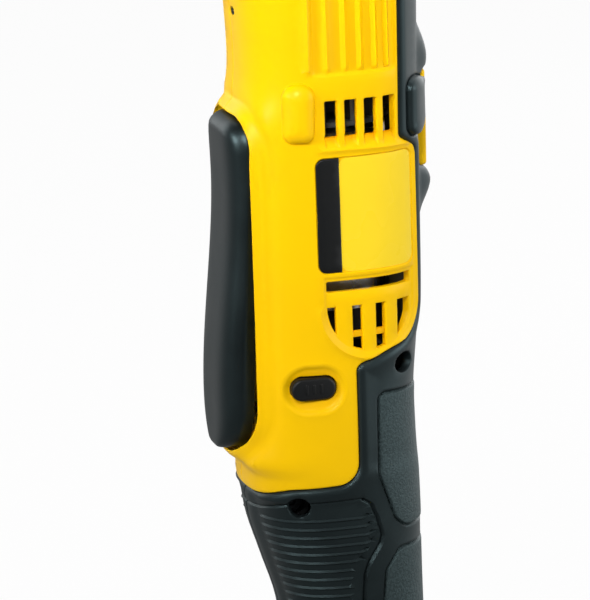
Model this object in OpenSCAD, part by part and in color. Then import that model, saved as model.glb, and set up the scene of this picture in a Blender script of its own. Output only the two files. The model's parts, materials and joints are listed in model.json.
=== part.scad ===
/* [Body] */
// Half width of the main body
body_half_w = 25.7; // [25.3:0.1:27]
// Reach of the body in front of the motor axis
body_front = 26; // [25.6:0.1:27]
// Reach of the body behind the motor axis
body_back = 26; // [25.8:0.1:27]
// Extra reach of the front around the paddle
paddle_bulge = 2.7; // [2.2:0.1:3.2]
// Housing wall
wall = 2.8; // [2.5:0.1:2.9]
// Thickness of the rubber overmould
skin = 1.4; // [1:0.1:1.6]

/* [Heights] */
// Height of the battery pack below the foot
battery_h = 40; // [36:1:60]
// Height of the foot that holds the pack
foot_h = 26; // [24:1:34]
// Length of the grip between the foot and the yellow housing
grip_len = 85; // [75:1:110]
// Length of the switch bay between the grip and the motor
bay_len = 41; // [40:1:50]
// Length of the motor with its end bell
motor_len = 60; // [58:1:66]
// Height of the fan bay
fan_bay = 14; // [13.5:0.5:16]
// Height of the planetary gearbox
gearbox_len = 32; // [31.5:0.5:34]
// Height of the housing collar above the gearbox
collar_h = 7; // [6:0.5:9]
// Rise of the chuck axis above the collar
head_rise = 35; // [34:0.5:42]

/* [Paddle] */
// Half width of the paddle
paddle_half_w = 14.8; // [13.5:0.1:15]
// Reach of the paddle at its hinge, from the motor axis
paddle_top_reach = 31.4; // [31:0.1:33]
// Reach of the paddle near its lower end
paddle_low_reach = 35.8; // [34.5:0.1:38]
// Distance of the slot's floor from the motor axis
slot_floor = 21.5; // [21.4:0.1:22]
// Inward travel of the paddle's lower end
paddle_travel = 5; // [4:0.1:5.2]
// Radius of the hinge pin
paddle_pin_r = 1.4; // [1:0.1:1.5]
// Distance of the hinge pin from the motor axis
paddle_pin_reach = 24.2; // [24:0.1:24.6]

/* [Controls] */
// Length of the direction button
button_len = 13; // [10:0.5:14]
// Height of the direction button
button_h = 6.6; // [5:0.2:7]
// How far the direction button stands out when centred
button_proud = 2.8; // [2.6:0.1:4]
// Travel of the speed selector, and of the ring that it shifts
shift_travel = 6.5; // [6.3:0.1:6.6]
// Length of the speed selector
selector_len = 16.4; // [14:0.2:18]
// Half width of the speed selector
selector_half_w = 8; // [6:0.2:8.4]

/* [Gears] */
// Module of the planetary gears
gear_module = 0.7; // [0.69:0.01:0.71]
// Teeth of the motor pinion
sun_first_teeth = 12; // [12:12:12]
// Teeth of the first planets
planet_first_teeth = 18; // [18:18:18]
// Teeth of the second sun
sun_second_teeth = 24; // [24:24:24]
// Teeth of the second planets
planet_second_teeth = 12; // [12:12:12]
// Module of the bevel gears at their large end
bevel_module = 1.25; // [1.2:0.01:1.28]
// Teeth of the bevel pinion
bevel_pinion_teeth = 13; // [13:13:13]
// Teeth of the bevel gear
bevel_gear_teeth = 26; // [26:26:26]
// Face width of the bevel teeth
bevel_face = 6; // [5:0.5:6.5]

/* [Head and chuck] */
// Outer radius of the head's barrel
head_r = 21.2; // [20.8:0.1:21.4]
// Outer radius of the head's neck
neck_r = 20.6; // [20.2:0.1:20.7]
// Reach of the barrel behind the neck's axis
barrel_back = 22; // [21:0.5:26]
// Radius of the spindle at its front bearing
spindle_r = 6; // [5.6:0.1:6.4]
// Length of the chuck, from its rear face to its nose
chuck_len = 44; // [43:0.5:46]
// Outer radius of the chuck sleeve
sleeve_r = 20.4; // [19.8:0.2:22]
// Radius of the round shank that the jaws hold at rest
grip_r = 3.25; // [3:0.05:3.5]
// Radius of a chuck jaw
jaw_r = 3.2; // [3:0.05:3.3]
// Slant of the jaws to the chuck's axis, degrees
jaw_slant = 15; // [14.5:0.1:15.5]

/* [Motor] */
// Radius of the motor can
motor_r = 18; // [17.4:0.1:18.4]
// Radius of the armature
rotor_r = 11.6; // [10.5:0.1:11.8]
// Radius of the motor shaft
motor_shaft_r = 2.5; // [2.3:0.1:2.6]
// Radius of the cooling fan
fan_r = 19; // [17:0.2:19.4]

/* [Battery] */
// Length of the battery pack
battery_len = 112; // [108:1:126]
// Width of the battery pack
battery_w = 75; // [74:1:84]
// Radius of a battery cell
cell_r = 9.2; // [8.8:0.1:9.3]
// Room between a cell's end and the case
cell_end_room = 2.6; // [1.5:0.1:4]
// Width over the pack's rails
rail_w = 57; // [54:0.5:58]

/* [Fits] */
// Gap between pieces that move past each other
part_gap = 0.3; // [0.25:0.01:0.35]
// Gap between pieces that are seated in each other
seat_gap = 0.05; // [0.03:0.01:0.08]

/* [Hidden] */

$fn = 64;
yellow = "#f0c000";
rubber = "#2c3133";
black = "#202325";
steel = "#b9bcc0";
dark_steel = "#6c7075";

// Levels up the tool, from the floor under the battery
z_foot = battery_h;
z_grip = z_foot + foot_h;
z_seam = z_grip + grip_len;
z_motor = z_seam + bay_len;
z_fan = z_motor + motor_len;
z_gearbox = z_fan + fan_bay;
z_flange = z_gearbox + gearbox_len;
z_top = z_flange + collar_h;
z_axis = z_top + head_rise;
// Levels of the controls
z_slot_low = z_seam + 8;
z_slot_top = z_fan + 7.5;
z_pin = z_slot_top - 7.5;
z_plunger = z_seam + 17;
z_button = z_seam + 29.6;
z_selector = z_fan + 4.6;
z_lamp = z_gearbox + 22;
// Where the rubber meets the yellow housing
spine_x = 17.5;
spine_slim_x = 22.2;
grip_edge_x = 1;
z_hook = z_motor - 4;
z_shoulder = z_fan - 1;

// Outer sections of the body: level, front, back, half width, squareness
fore = body_front + paddle_bulge;
foot_half_w = rail_w / 2 + 6.5;
stations = [
    [z_foot, -42, 50, foot_half_w, 6],
    [z_foot + 12, -42, 50, foot_half_w, 6],
    [z_foot + 20, -40, 48, foot_half_w - 1.5, 5.4],
    [z_grip, -31, 38, 29, 4],
    [z_grip + 8, -20.5, 28.5, 21.5, 2.9],
    [z_grip + 24, -15.6, 24.6, 18, 2.7],
    [z_grip + 46, -17.6, 24, 19.5, 2.7],
    [z_seam - 24, -22, 23.7, 22, 2.7],
    [z_seam - 12, 0.5 - body_front, 23.5, 24, 2.8],
    [z_seam, -1 - body_front, 23.2, body_half_w - 0.7, 2.8],
    [z_seam + 3, -1.2 - body_front, 23, body_half_w - 0.5, 2.8],
    [z_seam + 6.5, -1.8 - fore, 22.8, body_half_w - 0.4, 2.8],
    [z_seam + 13, -0.4 - fore, 22.5, body_half_w - 0.2, 2.8],
    [z_motor - 17, -fore, 22.4, body_half_w, 2.8],
    [z_motor, -fore, body_back - 2, body_half_w, 2.8],
    [z_motor + 10, -fore, body_back - 1, body_half_w, 2.8],
    [z_fan - 28, -fore, body_back - 0.4, body_half_w, 2.8],
    [z_fan - 2, -fore, body_back, body_half_w, 2.8],
    [z_fan + 8, 0.3 - fore, body_back, body_half_w, 2.8],
    [z_fan + 15, -0.3 - body_front, body_back, body_half_w, 2.8],
    [z_gearbox + 8, -body_front, body_back + 0.2, body_half_w, 2.8],
    [z_flange - 9, -0.3 - body_front, body_back + 0.7, body_half_w, 2.8],
    [z_flange, -body_front, body_back + 0.5, body_half_w - 0.2, 2.8],
    [z_top, 0.5 - body_front, body_back, body_half_w - 0.7, 2.8]];
// Sides of a section and steps between sections, for faces that show and faces that don't
outer_grid = [36, 8.5];
skin_grid = [24, 12];
inner_grid = [24, 18];

function last() = len(stations) - 1;
function slope(i, k) =
    let (a = stations[max(i - 1, 0)], b = stations[min(i + 1, last())])
    (b[k] - a[k]) / (b[0] - a[0]);
function span(z, i = 0) = i >= last() - 1 || z < stations[i + 1][0] ? i : span(z, i + 1);
// Smooth value of column k of the stations at level z
function body_at(z, k) =
    let (i = span(z), a = stations[i], b = stations[i + 1], h = b[0] - a[0])
    let (t = min(max((z - a[0]) / h, 0), 1))
    a[k] * (1 + 2 * t) * (1 - t) * (1 - t) + b[k] * t * t * (3 - 2 * t)
    + h * slope(i, k) * t * (1 - t) * (1 - t) - h * slope(i + 1, k) * t * t * (1 - t);
function power(v, p) = sign(v) * pow(abs(v), p);
function section_ring(z, inset, sides) =
    let (f = body_at(z, 1) + inset, b = body_at(z, 2) - inset, w = body_at(z, 3) - inset)
    let (p = 2 / body_at(z, 4))
    [for (k = [0:sides - 1]) let (t = 360 * k / sides)
        [(f + b) / 2 + (b - f) / 2 * power(cos(t), p), w * power(sin(t), p), z]];

// Faces of a stack of rings of n points each, closed at both ends
function ring_faces(n, rings) = concat(
    [[for (k = [0:n - 1]) k]],
    [[for (k = [0:n - 1]) n * rings - 1 - k]],
    [for (j = [0:rings - 2], k = [0:n - 1]) [j * n + k, j * n + n + k, j * n + n + (k + 1) % n]],
    [for (j = [0:rings - 2], k = [0:n - 1])
        [j * n + k, j * n + n + (k + 1) % n, j * n + (k + 1) % n]]);

// The body's outside, drawn in by an inset, between two levels, with sections at steps up from the foot
module loft(inset, z0, z1, grid) {
    count = floor((z_top - z_foot) / grid[1]);
    steps = [for (j = [0:count]) z_foot + j * (z_top - z_foot) / count];
    rings = concat([z0], [for (z = steps) if (z > z0 + 0.5 && z < z1 - 0.5) z], [z1]);
    polyhedron([for (z = rings) each section_ring(z, inset, grid[0])],
        ring_faces(grid[0], len(rings)), convexity = 8);
}

// A prism across the tool from an outline in the side view
module across(points, half_depth = 60) {
    translate([0, half_depth, 0])
        rotate([90, 0, 0])
            linear_extrude(2 * half_depth)
                polygon(points);
}

module across_pin(x, z, r, half_depth = 60) {
    translate([x, half_depth, z])
        rotate([90, 0, 0])
            cylinder(r = r, h = 2 * half_depth, $fn = 20);
}

// The side of the tool that a half lies on: -1 is the left half, 1 the right one
module half_space(side) {
    translate([-100, side < 0 ? -100 : 0, -10])
        cube([200, 100, 500]);
}

far = 60;
rubber_outline = [
    [far, z_foot - 1], [far, z_top + 1], [spine_x, z_top + 1], [spine_x - 0.7, z_shoulder + 6],
    [spine_x + 1, z_shoulder], [spine_x + 3.6, z_shoulder - 3.6], [spine_slim_x, z_shoulder - 8],
    [spine_slim_x, z_hook + 16], [spine_slim_x - 1, z_hook + 11], [spine_slim_x - 4, z_hook + 6],
    [spine_slim_x - 9, z_hook + 2.5], [grip_edge_x + 3, z_hook - 0.6],
    [grip_edge_x + 0.6, z_hook - 2.4], [grip_edge_x, z_hook - 6], [grip_edge_x, z_seam + 9],
    [grip_edge_x - 1.4, z_seam + 4.4], [grip_edge_x - 5, z_seam + 1.2], [-20, z_seam - 0.8],
    [-far, z_seam - 2], [-far, z_foot - 1]];

// Window in the rubber spine where the speed selector runs
module selector_window() {
    z0 = z_selector - selector_len / 2 - shift_travel - 4;
    translate([body_back - 8, -selector_half_w - 1, z0])
        cube([20, 2 * selector_half_w + 2, selector_len + shift_travel + 6]);
}

// Two raised guards on the spine, above and below the selector
guard_reach = body_back + 4.3;
module spine_guards() {
    for (z = [z_selector + selector_len / 2 + 6, z_selector - selector_len / 2 - 16])
        hull()
            for (dz = [-3, 3], y = [-5, 5])
                translate([guard_reach - 5, y, z + dz])
                    sphere(r = 5, $fn = 16);
}

screw_places = [[16, z_hook - 3], [-16.4, z_seam - 5.5], [5, z_grip + 34],
    [-31, z_grip - 7], [38, z_grip - 7]];
screw_r = 1.5;
screw_head_r = 2.9;
boss_r = 4.2;
screw_seat = 12.5;
screw_end = 9;

// Outline of the paddle's slot seen from the front, drawn in by an inset
module slot_outline(inset) {
    corner = 6.5;
    half = paddle_half_w + 0.7 - inset;
    hull() {
        for (s = [-1, 1]) {
            translate([s * (half - corner), z_slot_top - inset - corner])
                circle(r = corner, $fn = 32);
            translate([s * (half - 12), z_slot_low + inset + 13.5])
                circle(r = 12, $fn = 32);
        }
        translate([0, z_slot_low + inset + 11])
            circle(r = 11, $fn = 32);
    }
}

module paddle_slot(grow, floor_x) {
    translate([-floor_x, 0, 0])
        rotate([90, 0, -90])
            linear_extrude(40)
                slot_outline(-grow);
}

// Battery channel under the foot: a wide part for the rails above a narrower mouth
rail_h = 4;
lip_h = 3.5;
channel_h = lip_h + rail_h + 2 * part_gap + 3.6;
channel_back = 44;
module battery_channel() {
    reach = channel_back + far;
    translate([-far, -rail_w / 2 - part_gap, z_foot + lip_h])
        cube([reach, rail_w + 2 * part_gap, channel_h - lip_h]);
    translate([-far, -rail_w / 2 + 3, z_foot - 1])
        cube([reach, rail_w - 6, lip_h + 2]);
}

vent_pitch = 5.75;
vent_w = 3.7;
vent_h = 11;
module upper_vents() {
    for (i = [0:3])
        hull()
            for (dz = [0.8, vent_h - 0.8])
                translate([-4 + i * vent_pitch, 0, z_fan + 1.6 + dz])
                    cube([vent_w, 120, 1.6], center = true);
}

z_grille = z_motor + 11;
grille_x = 6.2;
// Middle and half width of each gap, which ends on an ellipse below
grille_gaps = [[-5.65, 1.25], [1.7, 1.5], [8.8, 1.5], [16.55, 2.25]];
module lower_grille() {
    hull()
        for (x = [-5.4, 18])
            across_pin(x, z_grille + 7.4, 1.2);
    for (g = grille_gaps) {
        drop = 12.6 * sqrt(1 - pow((g[0] - grille_x) / 13.1, 2));
        hull() {
            across_pin(g[0], z_grille - drop + g[1], g[1]);
            across_pin(g[0], z_grille + 2.2 - g[1], g[1]);
        }
    }
}

module button_hole(grow) {
    hull()
        for (s = [-1, 1])
            across_pin(-11.5 + s * (button_len - button_h) / 2, z_button, button_h / 2 + grow);
}

stem_half_h = 3;
stem_half_w = 3.6;
module selector_slot() {
    low = z_selector - stem_half_h - shift_travel - part_gap;
    translate([body_back - 8, -stem_half_w - part_gap, low])
        cube([20, 2 * (stem_half_w + part_gap), 2 * stem_half_h + shift_travel + 2 * part_gap]);
}

flange_h = 4.6;
neck_gap = 0.4;
liner = 2.2;
cavity_floor = z_foot + channel_h + 2.4;

// Ribs inside the housing that hold the motor
module motor_cradles() {
    for (z = [z_motor + bell_h + 3, z_fan - 15])
        translate([0, 0, z])
            difference() {
                cylinder(r = far, h = 2, $fn = 16);
                translate([0, 0, -1])
                    cylinder(r = motor_r + 2 * seat_gap, h = 4, $fn = 48);
            }
}

module housing_solid() {
    difference() {
        union() {
            difference() {
                union() {
                    loft(skin + seat_gap, z_foot, z_top, skin_grid);
                    difference() {
                        loft(0, z_foot, z_top, outer_grid);
                        across(rubber_outline);
                    }
                    intersection() {
                        loft(0, z_foot, z_top, outer_grid);
                        selector_window();
                    }
                }
                loft(wall, cavity_floor, z_flange + flange_h + seat_gap, inner_grid);
            }
            intersection() {
                loft(skin + seat_gap, z_foot, z_top, skin_grid);
                union() {
                    paddle_slot(liner, slot_floor - liner);
                    motor_cradles();
                    for (p = screw_places)
                        across_pin(p[0], p[1], boss_r);
                }
            }
        }
        paddle_slot(0, slot_floor);
        across_pin(-paddle_pin_reach, z_pin, paddle_pin_r + 0.1, paddle_half_w + 2.9);
        battery_channel();
        upper_vents();
        lower_grille();
        button_hole(part_gap);
        selector_slot();
        translate([0, 0, z_flange])
            cylinder(r = neck_r + neck_gap, h = 30);
        translate([0, 0, z_plunger])
            rotate([0, -90, 0])
                cylinder(r = plunger_r + part_gap, h = slot_floor + 1, $fn = 32);
        translate([0, 0, z_lamp])
            rotate([0, -90, 0])
                cylinder(r = lamp_r + seat_gap, h = far, $fn = 24);
        for (p = screw_places) {
            across_pin(p[0], p[1], screw_r + 0.12, screw_end);
            translate([p[0], -screw_seat, p[1]])
                rotate([90, 0, 0])
                    cylinder(r = screw_head_r + 0.2, h = 40, $fn = 32);
            translate([p[0], 0, p[1]])
                rotate([90, 0, 0])
                    cylinder(r = screw_r + 0.12, h = 40, $fn = 32);
        }
    }
}

module housing_half(side) {
    color(yellow)
        intersection() {
            housing_solid();
            half_space(side);
        }
}

module housing_left() {
    housing_half(-1);
}

module housing_right() {
    housing_half(1);
}

module overmould_half(side) {
    color(rubber)
        difference() {
            intersection() {
                union() {
                    loft(0, z_foot, z_top, outer_grid);
                    spine_guards();
                }
                across(rubber_outline);
                half_space(side);
            }
            loft(skin, z_foot - 1, z_top + 1, skin_grid);
            selector_window();
            battery_channel();
            paddle_slot(0, slot_floor);
            for (p = screw_places)
                translate([p[0], 0, p[1]])
                    rotate([90, 0, 0])
                        cylinder(r = screw_head_r + 0.2, h = 60, $fn = 32);
        }
}

module overmould_left() {
    overmould_half(-1);
}

module overmould_right() {
    overmould_half(1);
}

module cross_screw() {
    rotate([-90, 0, 0]) {
        cylinder(r = screw_r, h = screw_seat + screw_end);
        difference() {
            translate([0, 0, -2])
                cylinder(r = screw_head_r, h = 2);
            translate([0, 0, -3])
                cylinder(r = 1.3, h = 2.2, $fn = 6);
        }
    }
}

module housing_screws() {
    color(dark_steel)
        for (p = screw_places)
            translate([p[0], -screw_seat, p[1]])
                cross_screw();
}

// The right angle head
lug_reach = 22.4;
lug_r = 2.3;
lug_screw_r = 1.3;
out_bearing_r = 13;
out_bearing_h = 8;
out_shaft_r = 5;
z_out_bearing = z_flange + 3;
barrel_r = 18.4;
plate_x = 24;
plate_t = 3.4;
front_bearing_r = 13;
front_bearing_h = 8;
rear_bearing_r = 8;
rear_bearing_h = 5;
rear_bearing_x = 12;
rear_shaft_r = 3;
plate_screw_r = 1.3;
plate_boss_r = 3.2;
plate_screw_orbit = barrel_r + 1.8;

// Turns a piece that points up so that it points along the chuck, from a distance x in front
module along_chuck(x) {
    translate([-x, 0, z_axis])
        rotate([0, -90, 0])
            children();
}

// Bosses round the barrel's mouth for the plate's screws
plate_boss_len = 12;
module plate_bosses(x, length) {
    for (a = [45:90:315])
        along_chuck(x)
            rotate([0, 0, a])
                translate([plate_screw_orbit, 0, 0])
                    cylinder(r = plate_boss_r, h = length);
}

module gear_case() {
    color(dark_steel)
        difference() {
            union() {
                translate([0, 0, z_flange])
                    cylinder(r = neck_r, h = z_axis - z_flange);
                along_chuck(-barrel_back)
                    rotate_extrude()
                        polygon([[0, 0], [head_r - 5, 0], [head_r - 1.5, 1.5], [head_r, 5],
                            [head_r, barrel_back + plate_x], [0, barrel_back + plate_x]]);
                for (a = [45:90:315])
                    rotate([0, 0, a])
                        translate([lug_reach, 0, z_flange])
                            cylinder(r = lug_r, h = flange_h);
                plate_bosses(plate_x - plate_boss_len, plate_boss_len - seat_gap);
            }
            translate([0, 0, z_flange - 1])
                cylinder(r = out_bearing_r + seat_gap, h = 1 + z_out_bearing - z_flange + out_bearing_h);
            translate([0, 0, z_flange])
                cylinder(r = out_bearing_r - 2.5, h = z_axis - z_flange);
            along_chuck(-rear_bearing_x + 1)
                cylinder(r = barrel_r, h = far);
            along_chuck(-rear_bearing_x - rear_bearing_h)
                cylinder(r = rear_bearing_r + seat_gap, h = 20);
            along_chuck(-rear_bearing_x - rear_bearing_h - 1.5)
                cylinder(r = rear_shaft_r + 2, h = 20);
            for (a = [45:90:315])
                rotate([0, 0, a])
                    translate([lug_reach, 0, z_flange - 1])
                        cylinder(r = lug_screw_r + seat_gap, h = flange_h + 0.4);
            for (a = [45:90:315])
                along_chuck(plate_x - 9)
                    rotate([0, 0, a])
                        translate([plate_screw_orbit, 0, 0])
                            cylinder(r = plate_screw_r + seat_gap, h = 20);
        }
}

module bearing_plate() {
    color(dark_steel)
        difference() {
            union() {
                along_chuck(plate_x)
                    cylinder(r = head_r, h = plate_t);
                plate_bosses(plate_x, plate_t);
                along_chuck(plate_x - front_bearing_h)
                    cylinder(r = barrel_r - seat_gap, h = front_bearing_h + 1);
            }
            along_chuck(plate_x - front_bearing_h - 1)
                cylinder(r = front_bearing_r + seat_gap, h = front_bearing_h + 1);
            along_chuck(plate_x - 1)
                cylinder(r = spindle_r + 1.2, h = 20);
            for (a = [45:90:315])
                along_chuck(plate_x - 1)
                    rotate([0, 0, a])
                        translate([plate_screw_orbit, 0, 0])
                            cylinder(r = plate_screw_r + seat_gap, h = 20);
        }
}

// A pan head screw that points down from its seat at the origin
module small_screw(r, length) {
    translate([0, 0, -length])
        cylinder(r = r, h = length);
    difference() {
        cylinder(r = 1.4 * r, h = 1.4);
        translate([0, 0, 0.6])
            cylinder(r = 0.6 * r, h = 2, $fn = 6);
    }
}

module plate_screws() {
    color(steel)
        for (a = [45:90:315])
            along_chuck(plate_x + plate_t)
                rotate([0, 0, a])
                    translate([plate_screw_orbit, 0, 0])
                        small_screw(plate_screw_r, plate_t + 8);
}

module head_screws() {
    color(steel)
        for (a = [45:90:315])
            rotate([0, 0, a])
                translate([lug_reach, 0, z_flange - lug_h])
                    rotate([180, 0, 0])
                        small_screw(lug_screw_r, lug_h + flange_h - 1);
}

// The planetary gearbox
case_r = 21.3;
ring_r = 19.6;
lug_h = 6;
plate_h = 2;
ring_teeth = sun_first_teeth + 2 * planet_first_teeth;
tooth_slack = 0.09;
pressure = 25;
gear_h = 8;
z_first = z_gearbox + plate_h + part_gap;
z_carrier = z_first + gear_h + 1;
dog_h = 3.5;
z_second = z_gearbox + 18;
z_carrier_second = z_second + gear_h + 0.6;
carrier_second_h = 3.4;
orbit_first = gear_module * (sun_first_teeth + planet_first_teeth) / 2;
orbit_second = gear_module * (sun_second_teeth + planet_second_teeth) / 2;
planet_pin_r = 1.6;
fork_h = 2.4;
groove_depth = 0.9;

function involute(a) = tan(a) - a * PI / 180;
// Half angle of a tooth, in degrees, at radius r on a gear of the pitch radius p with n teeth
function tooth_half(p, n, r, slack) =
    let (base = p * cos(pressure), a = r > base ? acos(base / r) : 0)
    90 / n - slack / p * 90 / PI + (involute(pressure) - involute(a)) * 180 / PI;
// Radii up a tooth from root to tip
function tooth_radii(root, tip) = [for (i = [0:4]) root + (tip - root) * [0, 0.3, 0.55, 0.8, 1][i]];
function gear_points(n, m, root, tip, slack, turn) =
    let (p = n * m / 2, rs = tooth_radii(p + root * m, p + tip * m))
    [for (i = [0:n - 1]) each concat(
        [for (j = [0:4]) let (t = turn + 360 * i / n - tooth_half(p, n, rs[j], slack))
            rs[j] * [cos(t), sin(t)]],
        [for (j = [4:-1:0]) let (t = turn + 360 * i / n + tooth_half(p, n, rs[j], slack))
            rs[j] * [cos(t), sin(t)]])];

// An outside gear whose first tooth points at the angle turn
module gear(n, height, turn = 0) {
    linear_extrude(height)
        polygon(gear_points(n, gear_module, -1.1, 0.85, tooth_slack, turn));
}

// The hollow of an inside gear whose first gap points at the angle turn
module gear_hollow(n, height, turn = 0) {
    linear_extrude(height)
        polygon(gear_points(n, gear_module, -0.85, 1.1, -tooth_slack, turn));
}

module gearbox_case() {
    color(black)
        difference() {
            union() {
                translate([0, 0, z_gearbox])
                    cylinder(r = case_r, h = gearbox_len);
                for (a = [45:90:315])
                    rotate([0, 0, a])
                        translate([lug_reach, 0, z_flange - lug_h])
                            cylinder(r = lug_r, h = lug_h);
            }
            translate([0, 0, z_gearbox + plate_h])
                cylinder(r = ring_r + seat_gap, h = gearbox_len);
            translate([0, 0, z_gearbox - 1])
                cylinder(r = 8, h = plate_h + 2);
            for (a = [45:90:315])
                rotate([0, 0, a])
                    translate([lug_reach, 0, z_flange - lug_h - 1.6]) {
                        cylinder(r = lug_screw_r + seat_gap, h = lug_h + 3);
                        cylinder(r = 1.4 * lug_screw_r + part_gap, h = 1.6);
                    }
            translate([ring_r - 2, -stem_half_w - part_gap, fork_low - shift_travel - part_gap])
                cube([6, 2 * (stem_half_w + part_gap), fork_h + shift_travel + 2 * part_gap]);
        }
}

fork_low = z_second + (gear_h - fork_h) / 2;

module ring_gear_fixed() {
    color(steel)
        translate([0, 0, z_gearbox + plate_h])
            difference() {
                cylinder(r = ring_r, h = gear_h + part_gap);
                translate([0, 0, -1])
                    gear_hollow(ring_teeth, gear_h + 4);
            }
}

module ring_gear_shift() {
    color(steel)
        translate([0, 0, z_second])
            difference() {
                cylinder(r = ring_r - 0.15, h = gear_h);
                translate([0, 0, -1])
                    gear_hollow(ring_teeth, gear_h + 4);
                translate([0, 0, (gear_h - fork_h) / 2 - 0.2])
                    difference() {
                        cylinder(r = ring_r + 2, h = fork_h + 0.4);
                        translate([0, 0, -1])
                            cylinder(r = ring_r - 0.15 - groove_depth, h = fork_h + 3);
                    }
            }
}

pinion_bore_r = 2;
module motor_pinion() {
    color(steel)
        translate([0, 0, z_first])
            difference() {
                gear(sun_first_teeth, gear_h - 0.5, 180 / sun_first_teeth);
                translate([0, 0, -1])
                    cylinder(r = pinion_bore_r + seat_gap, h = gear_h + 2);
            }
}

// A planet on its pin: the tooth towards the ring meets one of the ring's gaps
module planet(n, orbit, angle, z, height) {
    color(steel)
        rotate([0, 0, angle])
            translate([orbit, 0, z])
                difference() {
                    gear(n, height);
                    translate([0, 0, -1])
                        cylinder(r = planet_pin_r + seat_gap, h = height + 2);
                }
}

module planet_first(i) {
    planet(planet_first_teeth, orbit_first, 120 * i, z_first + 0.4, gear_h - 1);
}

module planet_first_1() {
    planet_first(0);
}

module planet_first_2() {
    planet_first(1);
}

module planet_first_3() {
    planet_first(2);
}

module carrier_first() {
    color(dark_steel)
        difference() {
            union() {
                translate([0, 0, z_carrier])
                    linear_extrude(dog_h)
                        polygon(gear_points(ring_teeth, gear_module, -1.1, 0.75, 3 * tooth_slack, 0));
                translate([0, 0, z_carrier + dog_h])
                    gear(sun_second_teeth, z_carrier_second - part_gap - z_carrier - dog_h,
                        180 / sun_second_teeth);
                for (i = [0:2])
                    rotate([0, 0, 120 * i])
                        translate([orbit_first, 0, z_first + 0.4])
                            cylinder(r = planet_pin_r, h = z_carrier - z_first);
            }
            translate([0, 0, z_carrier - 1])
                cylinder(r = pinion_bore_r + 1, h = 40);
        }
}

module planet_second(i) {
    planet(planet_second_teeth, orbit_second, 120 * i, z_second + 0.4, gear_h - 0.8);
}

module planet_second_1() {
    planet_second(0);
}

module planet_second_2() {
    planet_second(1);
}

module planet_second_3() {
    planet_second(2);
}

bevel_tilt = atan(bevel_pinion_teeth / bevel_gear_teeth);
pinion_pitch_r = bevel_module * bevel_pinion_teeth / 2;
gear_pitch_r = bevel_module * bevel_gear_teeth / 2;
z_pinion = z_axis - gear_pitch_r;

module carrier_second() {
    color(dark_steel)
        union() {
            translate([0, 0, z_carrier_second])
                cylinder(r = orbit_second + 3.4, h = carrier_second_h);
            translate([0, 0, z_carrier_second])
                cylinder(r = out_shaft_r, h = z_pinion - 1 - z_carrier_second);
            translate([0, 0, z_carrier_second])
                cylinder(r = out_shaft_r + 2, h = z_out_bearing - seat_gap - z_carrier_second);
            for (i = [0:2])
                rotate([0, 0, 120 * i])
                    translate([orbit_second, 0, z_second + 0.4])
                        cylinder(r = planet_pin_r, h = z_carrier_second - z_second);
        }
}

// Points of a bevel gear's teeth at a share of the cone distance, apex at the origin, teeth upward
function bevel_ring(n, tilt, share, turn) =
    let (p = n * bevel_module / 2, axial = p / tan(tilt), back = p / cos(tilt))
    let (rs = tooth_radii(back - 1.1 * bevel_module, back + 0.85 * bevel_module))
    let (count = n / cos(tilt), side = [for (r = rs) tooth_half(back, count, r, tooth_slack) / cos(tilt)])
    let (out = [for (r = rs) share * (p + (r - back) * cos(tilt))])
    let (up = [for (r = rs) -share * (axial - (r - back) * sin(tilt))])
    [for (i = [0:n - 1]) each concat(
        [for (j = [0:4]) let (t = turn + 360 * i / n - side[j])
            [out[j] * cos(t), out[j] * sin(t), up[j]]],
        [for (j = [4:-1:0]) let (t = turn + 360 * i / n + side[j])
            [out[j] * cos(t), out[j] * sin(t), up[j]]])];

// Bevel teeth with their apex at the origin and their back towards -Z
module bevel_teeth(n, tilt, turn) {
    p = n * bevel_module / 2;
    cone = p / sin(tilt);
    small = 1 - bevel_face / cone;
    ring = 10 * n;
    low = bevel_ring(n, tilt, 1, turn);
    high = bevel_ring(n, tilt, small, turn);
    points = concat(low, high, [[0, 0, low[0][2] - 1], [0, 0, high[0][2] - 0.2]]);
    faces = concat(
        [for (k = [0:ring - 1]) [k, ring + k, ring + (k + 1) % ring]],
        [for (k = [0:ring - 1]) [k, ring + (k + 1) % ring, (k + 1) % ring]],
        [for (k = [0:ring - 1]) [2 * ring, k, (k + 1) % ring]],
        [for (k = [0:ring - 1]) [2 * ring + 1, ring + (k + 1) % ring, ring + k]]);
    polyhedron(points, faces, convexity = 10);
}

pinion_hub_h = 9;
module bevel_pinion() {
    color(steel)
        difference() {
            union() {
                translate([0, 0, z_axis])
                    bevel_teeth(bevel_pinion_teeth, bevel_tilt, 180);
                translate([0, 0, z_pinion - pinion_hub_h])
                    cylinder(r = pinion_pitch_r - 1.4, h = pinion_hub_h);
            }
            translate([0, 0, z_pinion - pinion_hub_h - 1])
                cylinder(r = out_shaft_r + seat_gap, h = pinion_hub_h + 0.4);
        }
}

gear_hub_r = 10;
gear_seat = plate_x - front_bearing_h - seat_gap;
module bevel_gear() {
    color(steel)
        difference() {
            union() {
                translate([0, 0, z_axis])
                    rotate([0, 90, 0])
                        bevel_teeth(bevel_gear_teeth, 90 - bevel_tilt, 180 / bevel_gear_teeth);
                along_chuck(pinion_pitch_r + 1)
                    cylinder(r = gear_hub_r, h = gear_seat - pinion_pitch_r - 1);
            }
            along_chuck(0)
                cylinder(r = spindle_r + seat_gap, h = far);
        }
}

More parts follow.
